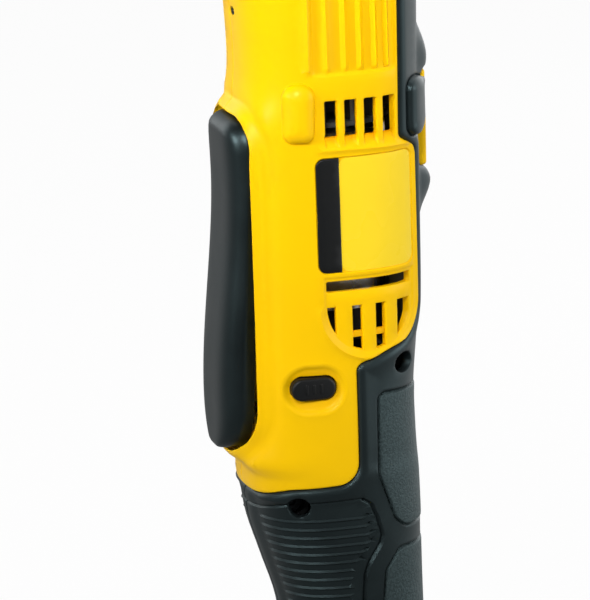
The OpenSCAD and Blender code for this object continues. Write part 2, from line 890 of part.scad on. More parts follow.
// A ball bearing that stands on the origin: two grooved rings with balls between them
module ball_bearing(r_out, r_in, height) {
    mid = (r_out + r_in) / 2;
    ball = min(height * 0.3, (r_out - r_in) * 0.3);
    ring_wall = (r_out - r_in) * 0.26;
    difference() {
        cylinder(r = r_out, h = height);
        translate([0, 0, -1])
            cylinder(r = r_out - ring_wall, h = height + 2);
        translate([0, 0, height / 2])
            rotate_extrude()
                translate([mid, 0])
                    circle(r = ball + 0.08);
    }
    difference() {
        cylinder(r = r_in + ring_wall, h = height);
        translate([0, 0, -1])
            cylinder(r = r_in, h = height + 2);
        translate([0, 0, height / 2])
            rotate_extrude()
                translate([mid, 0])
                    circle(r = ball + 0.08);
    }
    for (a = [0:45:315])
        rotate([0, 0, a])
            translate([mid, 0, height / 2])
                sphere(r = ball);
}

module output_bearing() {
    color(steel)
        translate([0, 0, z_out_bearing])
            ball_bearing(out_bearing_r, out_shaft_r + seat_gap, out_bearing_h);
}

module front_bearing() {
    color(steel)
        along_chuck(plate_x - front_bearing_h)
            ball_bearing(front_bearing_r, spindle_r + seat_gap, front_bearing_h);
}

module rear_bearing() {
    color(steel)
        along_chuck(-rear_bearing_x - rear_bearing_h)
            ball_bearing(rear_bearing_r, rear_shaft_r + seat_gap, rear_bearing_h);
}

// The chuck, drawn upright from its rear face and then laid along its axis
chuck_x = plate_x + plate_t + 0.6;
thread_r = 5;
thread_len = 13;
chuck_r = 16;
chuck_bore_r = 5.4;
jaw_out = 2;
jaw_len = 27;
jaw_tip_orbit = 3.2;
jaw_close = 8;
jaw_angles = [90, 210, 330];
jaw_tip = chuck_len + jaw_out;
nut_h = 5;
nut_w = chuck_len - 22;
nut_r = 18.4;
nut_inner = jaw_tip_orbit + (jaw_tip - nut_w) * tan(jaw_slant) + jaw_r / cos(jaw_slant) + part_gap;
nut_core_r = nut_inner - nut_h * tan(jaw_slant) - part_gap;
jaw_play = 0.12;

module spindle() {
    color(steel)
        union() {
            along_chuck(-rear_bearing_x - rear_bearing_h)
                cylinder(r = rear_shaft_r, h = rear_bearing_h + rear_bearing_x);
            along_chuck(-rear_bearing_x + seat_gap)
                cylinder(r = spindle_r - 1, h = rear_bearing_x);
            along_chuck(0)
                cylinder(r = spindle_r, h = chuck_x - seat_gap);
            along_chuck(chuck_x - 1)
                cylinder(r = thread_r, h = thread_len + 1);
        }
}

// Axis line of a jaw: places a piece whose length runs back from the jaw's tip
module on_jaw_line(angle) {
    rotate([0, 0, angle])
        translate([jaw_tip_orbit, 0, jaw_tip])
            rotate([0, -jaw_slant, 0])
                children();
}

module chuck_body() {
    color(dark_steel)
        along_chuck(chuck_x)
            difference() {
                rotate_extrude()
                    polygon([[0, 0], [12, 0], [13, 1], [13, 6], [chuck_r, 7],
                        [chuck_r, chuck_len - 9], [10, chuck_len], [0, chuck_len]]);
                translate([0, 0, -1])
                    cylinder(r = thread_r + seat_gap, h = thread_len + 1 + seat_gap);
                cylinder(r = 2.6, h = chuck_len);
                translate([0, 0, thread_len + 5])
                    cylinder(r = chuck_bore_r, h = chuck_len);
                for (a = jaw_angles)
                    on_jaw_line(a)
                        translate([0, 0, -jaw_len - 9])
                            cylinder(r = jaw_r + jaw_play, h = jaw_len + 29);
                translate([0, 0, nut_w - part_gap])
                    difference() {
                        cylinder(r = chuck_r + 5, h = nut_h + 2 * part_gap);
                        translate([0, 0, -1])
                            cylinder(r = nut_core_r, h = nut_h + 3);
                    }
            }
}

module chuck_screw() {
    color(steel)
        along_chuck(chuck_x + thread_len + 5) {
            cylinder(r = 4, h = 2.6);
            translate([0, 0, -4.8])
                cylinder(r = 2.5, h = 5);
        }
}

module chuck_nut() {
    color(steel)
        along_chuck(chuck_x)
            rotate_extrude()
                polygon([[nut_inner, nut_w], [nut_r, nut_w], [nut_r, nut_w + nut_h],
                    [nut_inner - nut_h * tan(jaw_slant), nut_w + nut_h]]);
}

module chuck_sleeve() {
    color(black)
        along_chuck(chuck_x)
            difference() {
                rotate_extrude()
                    polygon([[chuck_r + part_gap, 7.6], [sleeve_r - 1.4, 7.6], [sleeve_r, 9],
                        [sleeve_r, chuck_len - 9], [sleeve_r - 6, chuck_len - 3],
                        [12.6, chuck_len - 3], [chuck_r + part_gap, chuck_len - 8.6],
                        [chuck_r + part_gap, nut_w + nut_h + seat_gap],
                        [nut_r + seat_gap, nut_w + nut_h + seat_gap],
                        [nut_r + seat_gap, nut_w - seat_gap], [chuck_r + part_gap, nut_w - seat_gap]]);
                for (a = [0:18:342])
                    rotate([0, 0, a])
                        translate([sleeve_r + 0.5, 0, 12])
                            cylinder(r = 1.2, h = chuck_len - 24);
            }
}

module chuck_jaw(angle) {
    reach = 40;
    apex = jaw_close * sin(jaw_slant) + 0.25;
    color(steel)
        along_chuck(chuck_x)
            difference() {
                on_jaw_line(angle)
                    translate([0, 0, -jaw_len])
                        cylinder(r = jaw_r, h = jaw_len);
                cylinder(r = grip_r, h = 3 * reach);
                rotate([0, 0, angle])
                    translate([apex, 0, 0])
                        linear_extrude(3 * reach)
                            polygon([[0, 0], reach * [cos(60), sin(60)], reach * [-1, 1],
                                reach * [-1, -1], reach * [cos(60), -sin(60)]]);
            }
}

module chuck_jaw_1() {
    chuck_jaw(jaw_angles[0]);
}

module chuck_jaw_2() {
    chuck_jaw(jaw_angles[1]);
}

module chuck_jaw_3() {
    chuck_jaw(jaw_angles[2]);
}

// The paddle switch
paddle_low = z_slot_low + 1.3;
paddle_top = z_slot_top - 0.7;
paddle_len = paddle_top - paddle_low;
function paddle_front(z) =
    let (t = (paddle_top - z) / paddle_len)
    -paddle_top_reach - (paddle_low_reach - paddle_top_reach) * (1.6 * t - 0.6 * t * t);
function paddle_back(z) = part_gap * -1.2 - slot_floor
    - (paddle_travel + 0.4) * max(0, z_pin - z) / (z_pin - paddle_low);
// Half width of the slot's round bottom at the height s above its lowest point
function slot_bottom_half(s) =
    max(sqrt(121 - pow(11 - s, 2)), s < 1.5 ? 0 : paddle_half_w - 11.3 + sqrt(144 - pow(13.5 - s, 2)));
function paddle_width(z) =
    let (up = paddle_top - z, s = z - z_slot_low - 0.8)
    up < 6 ? paddle_half_w - 6 + sqrt(36 - (6 - up) * (6 - up))
    : s < 13.5 ? min(paddle_half_w, slot_bottom_half(s) - 0.6)
    : paddle_half_w;
// Share of the paddle's thickness left where its two ends are rounded over
function paddle_swell(z) =
    let (end = min(paddle_top - z, z - paddle_low) / 5)
    end < 1 ? 0.45 + 0.55 * sqrt(1 - (1 - end) * (1 - end)) : 1;
paddle_levels = concat([0, 0.4, 1.2, 2.6, 5, 9, 13, 17],
    [for (i = [1:10]) 17 + i * (paddle_len - 24) / 10],
    [paddle_len - 5, paddle_len - 2.6, paddle_len - 1, paddle_len - 0.3, paddle_len]);
function paddle_ring(z) =
    let (b = paddle_back(z), depth = (b - paddle_front(z)) * paddle_swell(z), w = paddle_width(z))
    [for (k = [0:20]) let (t = 90 + 180 * k / 20)
        [b + depth * power(cos(t), 0.55), w * power(sin(t), 0.55), z]];

module paddle() {
    color(rubber)
        difference() {
            polyhedron([for (d = paddle_levels) each paddle_ring(paddle_low + d)],
                ring_faces(21, len(paddle_levels)), convexity = 4);
            across_pin(-paddle_pin_reach, z_pin, paddle_pin_r + seat_gap);
        }
}

module paddle_pin() {
    color(steel)
        across_pin(-paddle_pin_reach, z_pin, paddle_pin_r, paddle_half_w + 2.7);
}

// A compression spring round the plunger, from the slot's floor to the paddle
spring_wire = 0.7;
spring_r = 4.4;
spring_turns = 3.5;
spring_sides = 6;
spring_reach = -paddle_back(z_plunger) - slot_floor - part_gap;
spring_steps = 12 * spring_turns;
function spring_point(s) =
    let (a = 360 * spring_turns * s, run = spring_reach - spring_wire)
    [-slot_floor - spring_wire / 2 - run * s, spring_r * cos(a), z_plunger + spring_r * sin(a)];
function spring_ring(s) =
    let (a = 360 * spring_turns * s, c = spring_point(s))
    [for (k = [0:spring_sides - 1]) let (t = 360 * k / spring_sides, u = spring_wire / 2 * cos(t))
        c + [-spring_wire / 2 * sin(t), u * cos(a), u * sin(a)]];
spring_gap = (spring_reach - spring_wire) / spring_turns - spring_wire;
echo(spring_gap_to_itself = spring_gap);

module paddle_spring() {
    color(steel)
        polyhedron([for (i = [0:spring_steps]) each spring_ring(i / spring_steps)],
            ring_faces(spring_sides, spring_steps + 1), convexity = 8);
}

plunger_r = 2.4;
switch_front = slot_floor - liner - seat_gap;
switch_back = 7;
switch_half_w = 9;
switch_h = 17;
plunger_depth = 12;
module switch_body() {
    color(black)
        difference() {
            translate([-switch_front, -switch_half_w, z_plunger - 9])
                cube([switch_front + switch_back, 2 * switch_half_w, switch_h]);
            translate([-switch_front + plunger_depth, 0, z_plunger])
                rotate([0, -90, 0])
                    cylinder(r = plunger_r + seat_gap, h = 40);
        }
}

module switch_plunger() {
    reach = -paddle_back(z_plunger) - part_gap;
    color("#c8c8c0")
        translate([-switch_front + plunger_depth - paddle_travel - 1, 0, z_plunger])
            rotate([0, -90, 0])
                cylinder(r = plunger_r, h = reach - switch_front + plunger_depth - paddle_travel - 1);
}

module direction_button() {
    color(black)
        intersection() {
            button_hole(0);
            translate([-40, -body_half_w - button_proud + 0.6, 0])
                cube([80, 2 * (body_half_w + button_proud - 0.6), 400]);
        }
}

// The speed selector and what it shifts
knob_x = body_back + 0.4;
module speed_selector() {
    color(black)
        union() {
            translate([knob_x, 0, z_selector])
                hull()
                    for (s = [-1, 1], y = [-1, 1]) {
                        translate([0.6, y * (selector_half_w - 1), s * (selector_len / 2 - 1)])
                            rotate([0, 90, 0])
                                cylinder(r = 1, h = 1.2, center = true, $fn = 16);
                        translate([2.6, y * (selector_half_w - 3), s * (selector_len / 2 - 3)])
                            sphere(r = 1, $fn = 16);
                    }
            translate([fork_x + fork_t, -stem_half_w, z_selector - stem_half_h])
                cube([knob_x + 0.5 - fork_x - fork_t, 2 * stem_half_w, 2 * stem_half_h]);
        }
}

fork_x = case_r + 0.4;
fork_t = 1.1;
module shift_fork() {
    color(steel)
        union() {
            translate([fork_x, -stem_half_w, z_selector - stem_half_h])
                cube([fork_t, 2 * stem_half_w, fork_low + fork_h - z_selector + stem_half_h]);
            translate([ring_r - groove_depth, -stem_half_w, fork_low])
                cube([fork_x + 0.5 - ring_r + groove_depth, 2 * stem_half_w, fork_h]);
        }
}

// The motor
bell_h = 9;
can_wall = 1.3;
z_core = z_motor + 14;
core_h = 30;
bush_r = 5;
bush_h = 5;
module motor_can() {
    color(steel)
        translate([0, 0, z_motor + bell_h])
            difference() {
                cylinder(r = motor_r, h = motor_len - bell_h);
                translate([0, 0, -1])
                    cylinder(r = motor_r - can_wall, h = motor_len - bell_h - 1.5);
                cylinder(r = bush_r + seat_gap, h = motor_len);
                for (a = [0:60:300])
                    rotate([0, 0, a])
                        translate([11, 0, motor_len - bell_h - 5])
                            cylinder(r = 2.6, h = 10);
            }
}

module motor_magnets() {
    color("#3a3d40")
        translate([0, 0, z_core - 2])
            for (a = [0, 180])
                rotate([0, 0, a + 20])
                    rotate_extrude(angle = 140)
                        translate([rotor_r + 0.5, 0])
                            square([motor_r - can_wall - seat_gap - rotor_r - 0.5, core_h + 4]);
}

brush_reach = 11;
brush_half_w = 2.4;
brush_h = 4.4;
z_brush = z_motor + 3.2;
comm_r = 5.6;
module motor_end_bell() {
    color(black)
        difference() {
            union() {
                translate([0, 0, z_motor])
                    cylinder(r = motor_r, h = bell_h);
                translate([0, 0, z_motor])
                    cylinder(r = motor_r - can_wall - seat_gap, h = bell_h + 2);
            }
            translate([0, 0, z_motor - 1])
                cylinder(r = bush_r + seat_gap, h = 40);
            translate([0, 0, z_motor + 2.4])
                cylinder(r = comm_r + 1.4, h = 40);
            translate([0, 0, z_motor + bell_h])
                cylinder(r = motor_r - can_wall - 2, h = 10);
            translate([-brush_reach, -brush_half_w - seat_gap, z_brush - seat_gap])
                cube([2 * brush_reach, 2 * (brush_half_w + seat_gap), brush_h + 2 * seat_gap]);
        }
}

module motor_bush(z) {
    translate([0, 0, z])
        difference() {
            cylinder(r = bush_r, h = bush_h);
            translate([0, 0, -1])
                cylinder(r = motor_shaft_r + seat_gap, h = bush_h + 2);
        }
}

module motor_bushes() {
    color("#b08d57") {
        motor_bush(z_motor - bush_h + 2.4);
        motor_bush(z_fan - bush_h);
    }
}

module motor_shaft() {
    color(steel)
        union() {
            translate([0, 0, z_motor - bush_h + 1])
                cylinder(r = motor_shaft_r, h = z_gearbox - 4 - z_motor + bush_h - 1);
            translate([0, 0, z_gearbox - 5])
                cylinder(r = pinion_bore_r, h = z_first + gear_h - z_gearbox + 4);
        }
}

rotor_slots = 10;
module rotor_core() {
    color(dark_steel)
        translate([0, 0, z_core])
            difference() {
                cylinder(r = rotor_r, h = core_h);
                translate([0, 0, -1])
                    cylinder(r = motor_shaft_r + seat_gap, h = core_h + 2);
                for (i = [0:rotor_slots - 1])
                    rotate([0, 0, i * 360 / rotor_slots])
                        translate([rotor_r - 3.6, -1.1, -1])
                            cube([6, 2.2, core_h + 2]);
            }
}

winding_h = 4.4;
module rotor_windings() {
    color("#b5642a")
        for (z = [z_core - winding_h, z_core + core_h])
            translate([0, 0, z])
                rotate_extrude()
                    polygon([[motor_shaft_r + 0.6, 0], [rotor_r - 2.4, 0], [rotor_r - 1.2, winding_h / 2],
                        [rotor_r - 2.4, winding_h], [motor_shaft_r + 0.6, winding_h]]);
}

module commutator() {
    color("#c07a3c")
        translate([0, 0, z_motor + 2.8])
            difference() {
                cylinder(r = comm_r, h = z_core - winding_h - 0.3 - z_motor - 2.8);
                translate([0, 0, -1])
                    cylinder(r = motor_shaft_r + seat_gap, h = 20);
                for (i = [0:rotor_slots - 1])
                    rotate([0, 0, i * 360 / rotor_slots])
                        translate([comm_r - 0.6, -0.25, -1])
                            cube([2, 0.5, 20]);
            }
}

module motor_brushes() {
    color("#2a2a2a")
        for (s = [0, 180])
            rotate([0, 0, s])
                translate([comm_r + 0.1, -brush_half_w, z_brush])
                    cube([brush_reach - comm_r - 0.2, 2 * brush_half_w, brush_h]);
}

fan_blades = 14;
fan_h = 8;
module cooling_fan() {
    color("#d8d4c8")
        translate([0, 0, z_fan + 2])
            difference() {
                union() {
                    cylinder(r = fan_r, h = 1.4);
                    cylinder(r = 6, h = fan_h);
                    for (i = [0:fan_blades - 1])
                        rotate([0, 0, i * 360 / fan_blades])
                            translate([9, -0.6, 0.7])
                                cube([fan_r - 9.6, 1.2, fan_h - 0.7]);
                }
                translate([0, 0, -1])
                    cylinder(r = motor_shaft_r + seat_gap, h = fan_h + 2);
            }
}

lamp_r = 1.6;
module work_lamp() {
    reach = -body_at(z_lamp, 1) + 0.3;
    color("#e8eef2")
        translate([-reach, 0, z_lamp])
            rotate([0, 90, 0]) {
                cylinder(r = lamp_r, h = wall + 0.6);
                translate([0, 0, wall + 0.6])
                    cylinder(r = lamp_r + 0.4, h = 1);
            }
}

// The battery and its contacts
z_ceiling = z_foot + channel_h;
blade_pitch = 9;
blade_t = 1;
blade_len = 14;
blade_drop = 5;
block_x = 20;
block_w = 36;
block_low = z_ceiling - blade_drop - 0.6;
module terminal_block() {
    color(black)
        translate([block_x + blade_len, -block_w / 2, block_low])
            cube([channel_back - block_x - blade_len, block_w, z_ceiling - block_low]);
}

module terminal_blades() {
    color("#c89a52")
        for (i = [-1.5:1:1.5])
            translate([block_x, i * blade_pitch - blade_t / 2, z_ceiling - blade_drop])
                cube([blade_len, blade_t, blade_drop - 0.6]);
}

battery_x = 2;
base_h = 26;
corner_r = 9;
case_wall = 2.4;
shoulder_gap = 0.4;
module pack_outline(inset) {
    half_l = battery_len / 2 - inset;
    half_w = battery_w / 2 - inset;
    corner = corner_r - inset;
    translate([battery_x, 0]) {
        square([2 * half_l, 2 * (half_w - corner)], center = true);
        square([2 * (half_l - corner), 2 * half_w], center = true);
        for (x = [-1, 1], y = [-1, 1])
            translate([x * (half_l - corner), y * (half_w - corner)])
                circle(r = corner);
    }
}

pack_screw_inset = 5;
pack_boss_r = 3.2;
pack_screw_x = battery_len / 2 - pack_screw_inset;
pack_screw_y = battery_w / 2 - pack_screw_inset - 1;
module pack_screw_places() {
    for (x = [-1, 1], y = [-1, 1])
        translate([battery_x + x * pack_screw_x, y * pack_screw_y, 0])
            children();
}

module battery_base() {
    color(black)
        difference() {
            union() {
                linear_extrude(2)
                    pack_outline(1.2);
                translate([0, 0, 2])
                    linear_extrude(base_h - 2)
                        pack_outline(0);
            }
            difference() {
                translate([0, 0, case_wall])
                    linear_extrude(base_h)
                        pack_outline(case_wall);
                pack_screw_places()
                    cylinder(r = pack_boss_r, h = far);
            }
            pack_screw_places() {
                translate([0, 0, -1])
                    cylinder(r = 1.6, h = 60);
                translate([0, 0, -1])
                    cylinder(r = 2.7, h = 4);
            }
        }
}

rail_z = z_foot + lip_h + part_gap;
rail_front = battery_x - battery_len / 2 + 12;
rail_len = channel_back - part_gap - rail_front;
cover_top = battery_h - shoulder_gap;
module battery_cover() {
    color(black)
        difference() {
            union() {
                translate([0, 0, base_h])
                    linear_extrude(cover_top - 3 - base_h)
                        pack_outline(0);
                translate([0, 0, cover_top - 3])
                    linear_extrude(3)
                        pack_outline(2);
                translate([rail_front, -rail_w / 2 + 3 + part_gap, cover_top - 1])
                    cube([rail_len, rail_w - 6 - 2 * part_gap, rail_z + rail_h - cover_top + 1]);
                translate([rail_front, -rail_w / 2, rail_z])
                    cube([rail_len, rail_w, rail_h]);
            }
            difference() {
                translate([0, 0, base_h - 1])
                    linear_extrude(cover_top - 5 - base_h)
                        pack_outline(case_wall);
                pack_screw_places()
                    cylinder(r = pack_boss_r, h = far);
            }
            pack_screw_places()
                cylinder(r = 1.6, h = base_h + 8);
            translate([block_x - 1, 0, z_ceiling - blade_drop - part_gap])
                for (i = [-1.5:1:1.5])
                    translate([0, i * blade_pitch - blade_t / 2 - part_gap, 0])
                        cube([far, blade_t + 2 * part_gap, 20]);
            translate([block_x + blade_len - part_gap, -block_w / 2 - part_gap, block_low - part_gap])
                cube([far, block_w + 2 * part_gap, 20]);
            translate([-thumb_x - part_gap, -latch_half_w - part_gap, latch_low - latch_travel - part_gap])
                cube([thumb_x - tooth_x + 2 * part_gap, 2 * (latch_half_w + part_gap), 40]);
        }
}

cell_pitch = 2 * cell_r + 0.5;
cell_z = case_wall + seat_gap + cell_r;
cell_len = battery_w - 2 * (case_wall + cell_end_room);
cell_count = floor((battery_len - 2 * (pack_screw_inset + pack_boss_r)) / cell_pitch);
module battery_cells() {
    color("#3f7f5f")
        for (i = [0:cell_count - 1])
            translate([battery_x + (i - (cell_count - 1) / 2) * cell_pitch, cell_len / 2, cell_z])
                rotate([90, 0, 0])
                    cylinder(r = cell_r, h = cell_len);
}

// The release latch: a tooth that rises through the rails, and a thumb pad in front of the foot
thumb_x = battery_len / 2 - battery_x - 2.5;
thumb_len = 6.5;
thumb_rise = 3.4;
tooth_x = thumb_x - 18.5;
tooth_len = 7;
latch_half_w = 10;
latch_travel = 4;
latch_low = cover_top - 5.6;
arm_h = 4;
module battery_latch() {
    color("#d0a400")
        union() {
            translate([-thumb_x, -latch_half_w, latch_low])
                cube([thumb_x - tooth_x, 2 * latch_half_w, arm_h]);
            translate([-thumb_x, -latch_half_w, latch_low])
                cube([thumb_len, 2 * latch_half_w, cover_top + thumb_rise - latch_low]);
            translate([-tooth_x - tooth_len, -latch_half_w, latch_low])
                cube([tooth_len, 2 * latch_half_w, z_ceiling - 0.6 - latch_low]);
        }
}

module battery_screws() {
    color(steel)
        pack_screw_places()
            translate([0, 0, 3])
                rotate([180, 0, 0])
                    small_screw(1.5, base_h + 2);
}

housing_left();
housing_right();
overmould_left();
overmould_right();
housing_screws();
gear_case();
bearing_plate();
plate_screws();
head_screws();
gearbox_case();
ring_gear_fixed();
ring_gear_shift();
motor_pinion();
planet_first_1();
planet_first_2();
planet_first_3();
carrier_first();
planet_second_1();
planet_second_2();
planet_second_3();
carrier_second();
bevel_pinion();
output_bearing();
bevel_gear();
spindle();
front_bearing();
rear_bearing();
chuck_body();
chuck_sleeve();
chuck_nut();
chuck_jaw_1();
chuck_jaw_2();
chuck_jaw_3();
chuck_screw();
paddle();
paddle_pin();
paddle_spring();
switch_body();
switch_plunger();
direction_button();
speed_selector();
shift_fork();
motor_can();
motor_magnets();
motor_end_bell();
motor_bushes();
motor_shaft();
rotor_core();
rotor_windings();
commutator();
motor_brushes();
cooling_fan();
work_lamp();
terminal_block();
terminal_blades();
battery_base();
battery_cover();
battery_cells();
battery_latch();
battery_screws();
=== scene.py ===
# %% [markdown]
# # A right angle drill
#
# A cordless drill for narrow places: a long body that the hand wraps round, a paddle instead of a
# trigger, a metal head that turns the drive through a right angle, and a pack that slides in under
# the foot. The CAD frame has every piece at its true size. This lesson gives the pieces that show
# their moulded shapes, edges and finishes, and leaves the works inside as they are.

# %% The frame
import json
import math

import bmesh
import bpy
import numpy as np
from mathutils import Matrix, Vector
from mathutils.geometry import delaunay_2d_cdt
from mathutils.kdtree import KDTree

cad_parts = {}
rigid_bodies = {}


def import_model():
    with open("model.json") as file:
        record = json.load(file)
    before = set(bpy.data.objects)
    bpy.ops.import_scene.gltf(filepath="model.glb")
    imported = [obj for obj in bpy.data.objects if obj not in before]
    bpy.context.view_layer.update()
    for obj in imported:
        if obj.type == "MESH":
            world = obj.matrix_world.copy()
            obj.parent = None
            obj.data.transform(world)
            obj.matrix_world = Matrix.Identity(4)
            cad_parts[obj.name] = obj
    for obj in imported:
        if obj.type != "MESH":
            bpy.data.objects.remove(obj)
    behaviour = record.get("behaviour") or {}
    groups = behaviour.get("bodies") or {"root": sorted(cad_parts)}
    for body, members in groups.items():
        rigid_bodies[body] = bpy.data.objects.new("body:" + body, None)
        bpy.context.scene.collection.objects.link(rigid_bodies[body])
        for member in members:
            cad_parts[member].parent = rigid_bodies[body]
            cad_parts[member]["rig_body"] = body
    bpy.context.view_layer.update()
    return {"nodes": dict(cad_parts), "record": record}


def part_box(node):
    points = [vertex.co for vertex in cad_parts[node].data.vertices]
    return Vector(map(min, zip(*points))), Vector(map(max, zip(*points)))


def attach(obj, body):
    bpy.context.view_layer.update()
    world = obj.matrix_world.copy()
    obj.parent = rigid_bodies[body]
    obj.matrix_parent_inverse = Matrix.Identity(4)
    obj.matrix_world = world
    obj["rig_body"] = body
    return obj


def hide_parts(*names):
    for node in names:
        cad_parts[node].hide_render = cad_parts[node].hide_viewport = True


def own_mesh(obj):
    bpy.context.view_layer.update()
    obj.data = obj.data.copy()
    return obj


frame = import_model()
nodes = frame["nodes"]

# %% [markdown]
# ## Units and pieces
#
# The frame is in metres, but moulded plastic is easier to think about in millimetres, so the lesson
# works in millimetres and scales once, where a mesh is made. Every piece goes through one function,
# which also says what body it rides on, what finish it takes and which CAD nodes it stands for.

# %% Making a piece
MM = 0.001


def node_box(name):
    """Lowest and highest corner of a CAD node, in millimetres."""
    low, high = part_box(name)
    return np.array(low) / MM, np.array(high) / MM


def frame_body(node):
    """The body that a CAD node rides on."""
    return nodes[node]["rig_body"]


def add_piece(name, shape, slot, body="root", replaces=(), finish=None, sharp=40):
    """A smooth piece from corners in millimetres and faces, in its slot's finish, riding on a body."""
    corners, faces = shape
    mesh = bpy.data.meshes.new(name)
    mesh.from_pydata((np.asarray(corners, float) * MM).tolist(), [], faces)
    mesh.validate()
    mesh.shade_smooth()
    mesh.set_sharp_from_angle(angle=math.radians(sharp))
    made = bpy.data.objects.new(name, mesh)
    bpy.context.scene.collection.objects.link(made)
    mesh.materials.append(finish or finishes[slot])
    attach(made, body)
    if replaces:
        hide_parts(*replaces)
    return made


def share_out(count):
    """A list of the numbers 0 to 1 in equal steps."""
    return np.linspace(0, 1, count)


FOOT = node_box("overmould_left")[0][2]
TOP = node_box("housing_left")[1][2]
print("body from", round(FOOT, 1), "to", round(TOP, 1), "mm")

# %% [markdown]
# ## Shader maths as Python
#
# A finish is a small program: noise for the grain, masks for the painted shade in low places and for
# the stippled pads, a mix of two tones. Wiring that by hand hides the idea, so one class wraps a
# socket. Its operators add Math nodes, and one method adds any other node.

# %% Sockets with operators
class Wire:
    """One output socket of a material's nodes."""

    def __init__(self, tree, socket=None):
        self.tree = tree
        self.socket = socket

    def node(self, kind, settings=(), inputs=(), output=0):
        """Any node: its type, what is set on it first, then the values or links of its sockets."""
        made = self.tree.nodes.new(kind)
        for key, value in dict(settings).items():
            setattr(made, key, value)
        for key, value in dict(inputs).items():
            if isinstance(value, Wire):
                self.tree.links.new(value.socket, made.inputs[key])
            else:
                made.inputs[key].default_value = value
        return Wire(self.tree, made.outputs[output])

    def maths(self, operation, first, second=0.0):
        return self.node("ShaderNodeMath", {"operation": operation}, {0: first, 1: second})

    def __add__(self, other):
        return self.maths("ADD", self, other)

    def __sub__(self, other):
        return self.maths("SUBTRACT", self, other)

    def __rsub__(self, other):
        return self.maths("SUBTRACT", other, self)

    def __mul__(self, other):
        return self.maths("MULTIPLY", self, other)

    __radd__ = __add__
    __rmul__ = __mul__

    def clamp(self, low, high):
        """This value moved from low..high to 0..1, with nothing outside."""
        return self.node("ShaderNodeMapRange", {"clamp": True}, {0: self, 1: low, 2: high})

    def mix(self, first, second):
        """A colour between two, with this value as the share of the second."""
        colours = {0: self, 6: first, 7: second}
        return self.node("ShaderNodeMix", {"data_type": "RGBA"}, colours, output=2)


print("operators ready:", [name for name in vars(Wire) if name.startswith("__r")])

# %% [markdown]
# ## Finishes
#
# The tool has few finishes, each with its own grain. The yellow shell is glass filled nylon with a
# fine satin texture. The black rubber is moulded over it and is duller, with a coarse stipple where
# the hand holds. The pack and buttons are harder black plastic. The head is cast and bead blasted,
# and the works are turned, ground and wound metal. Grain is in metres on the object, so it keeps its
# scale on every piece.

# %% A finish from a recipe
def colour(red, green, blue):
    """A colour written as 0 to 255 per channel, in the linear values that nodes use."""
    parts = [c / 255 for c in (red, green, blue)]
    linear = [c / 12.92 if c <= 0.04045 else ((c + 0.055) / 1.055) ** 2.4 for c in parts]
    return (*linear, 1.0)


def grain(wire, size_mm, detail=3.0, stretch=(1, 1, 1)):
    """Noise from 0 to 1 whose lumps are about size_mm across."""
    place = wire.node("ShaderNodeTexCoord", output="Object")
    scaled = wire.node("ShaderNodeMapping", (), {"Vector": place, "Scale": stretch})
    settings = {"Vector": scaled, "Scale": 1000 / size_mm, "Detail": detail}
    return wire.node("ShaderNodeTexNoise", (), settings)


def mark(wire, name):
    """A number painted on the corners of the mesh."""
    return wire.node("ShaderNodeAttribute", {"attribute_name": name}, (), output="Fac")


def new_finish(name, recipe, **plain):
    """A material whose varying sockets come from a recipe and whose plain ones are set here."""
    made = bpy.data.materials.new(name)
    made.use_nodes = True
    tree = made.node_tree
    shader = tree.nodes["Principled BSDF"]
    for key, value in plain.items():
        shader.inputs[key.replace("_", " ")].default_value = value
    for key, value in recipe(Wire(tree)).items():
        tree.links.new(value.socket, shader.inputs[key])
    made.diffuse_color = (0.3, 0.3, 0.3, 1)
    return made


def bump(wire, height, depth_mm, strength=1.0):
    """A normal from a height of 0 to 1 that is depth_mm deep."""
    settings = {"Height": height, "Distance": depth_mm * MM, "Strength": strength}
    return wire.node("ShaderNodeBump", (), settings, output="Normal")


print("a finish is a recipe for colour, roughness and normal")

# %% Plastics and rubber
def satin_plastic(light, dark, grain_mm, rough):
    """Moulded plastic: a faint cloud of two tones, painted shade in its low places and a fine satin grain.
    """

    def recipe(wire):
        cloud = grain(wire, 26).clamp(0.3, 0.7)
        fine = grain(wire, grain_mm, 2.0)
        # Painted shade: where the relief lies more than 0.7 mm under the skin, the colour is mixed towards
        # the darker one, as if shade fell in the hollow.
        low = 1 - mark(wire, "relief").clamp(-2.4, -0.7)
        tone = cloud.mix(light, tuple(0.94 * c for c in light[:3]) + (1.0,))
        return {
            "Base Color": (low * 0.75).mix(tone, dark),
            "Roughness": rough + 0.1 * cloud + 0.1 * low,
            "Normal": bump(wire, fine, 0.02, 0.5),
        }

    return recipe


# The pads are painted a lighter rubber, partly the stipple's own tone and partly painted light, as if more
# light fell on them.
def moulded_rubber(light, dark, rough, stippled=colour(50, 61, 62)):
    """Rubber: dull, and stippled where the pads are."""

    def recipe(wire):
        cloud = grain(wire, 18).clamp(0.3, 0.7)
        lumps = grain(wire, 0.75, 1.0).clamp(0.38, 0.62)
        fine = grain(wire, 0.3, 2.0)
        pad = mark(wire, "pad")
        height = fine * 0.15 + lumps * pad
        return {
            # Partly painted light: the pads' lighter colour stands for light falling on them as well as
            # for their stipple.
            "Base Color": (pad * (0.55 + 0.45 * lumps)).mix(cloud.mix(dark, light), stippled),
            "Roughness": rough + 0.08 * cloud + 0.1 * pad,
            "Normal": bump(wire, height, 0.09, 0.6),
        }

    return recipe
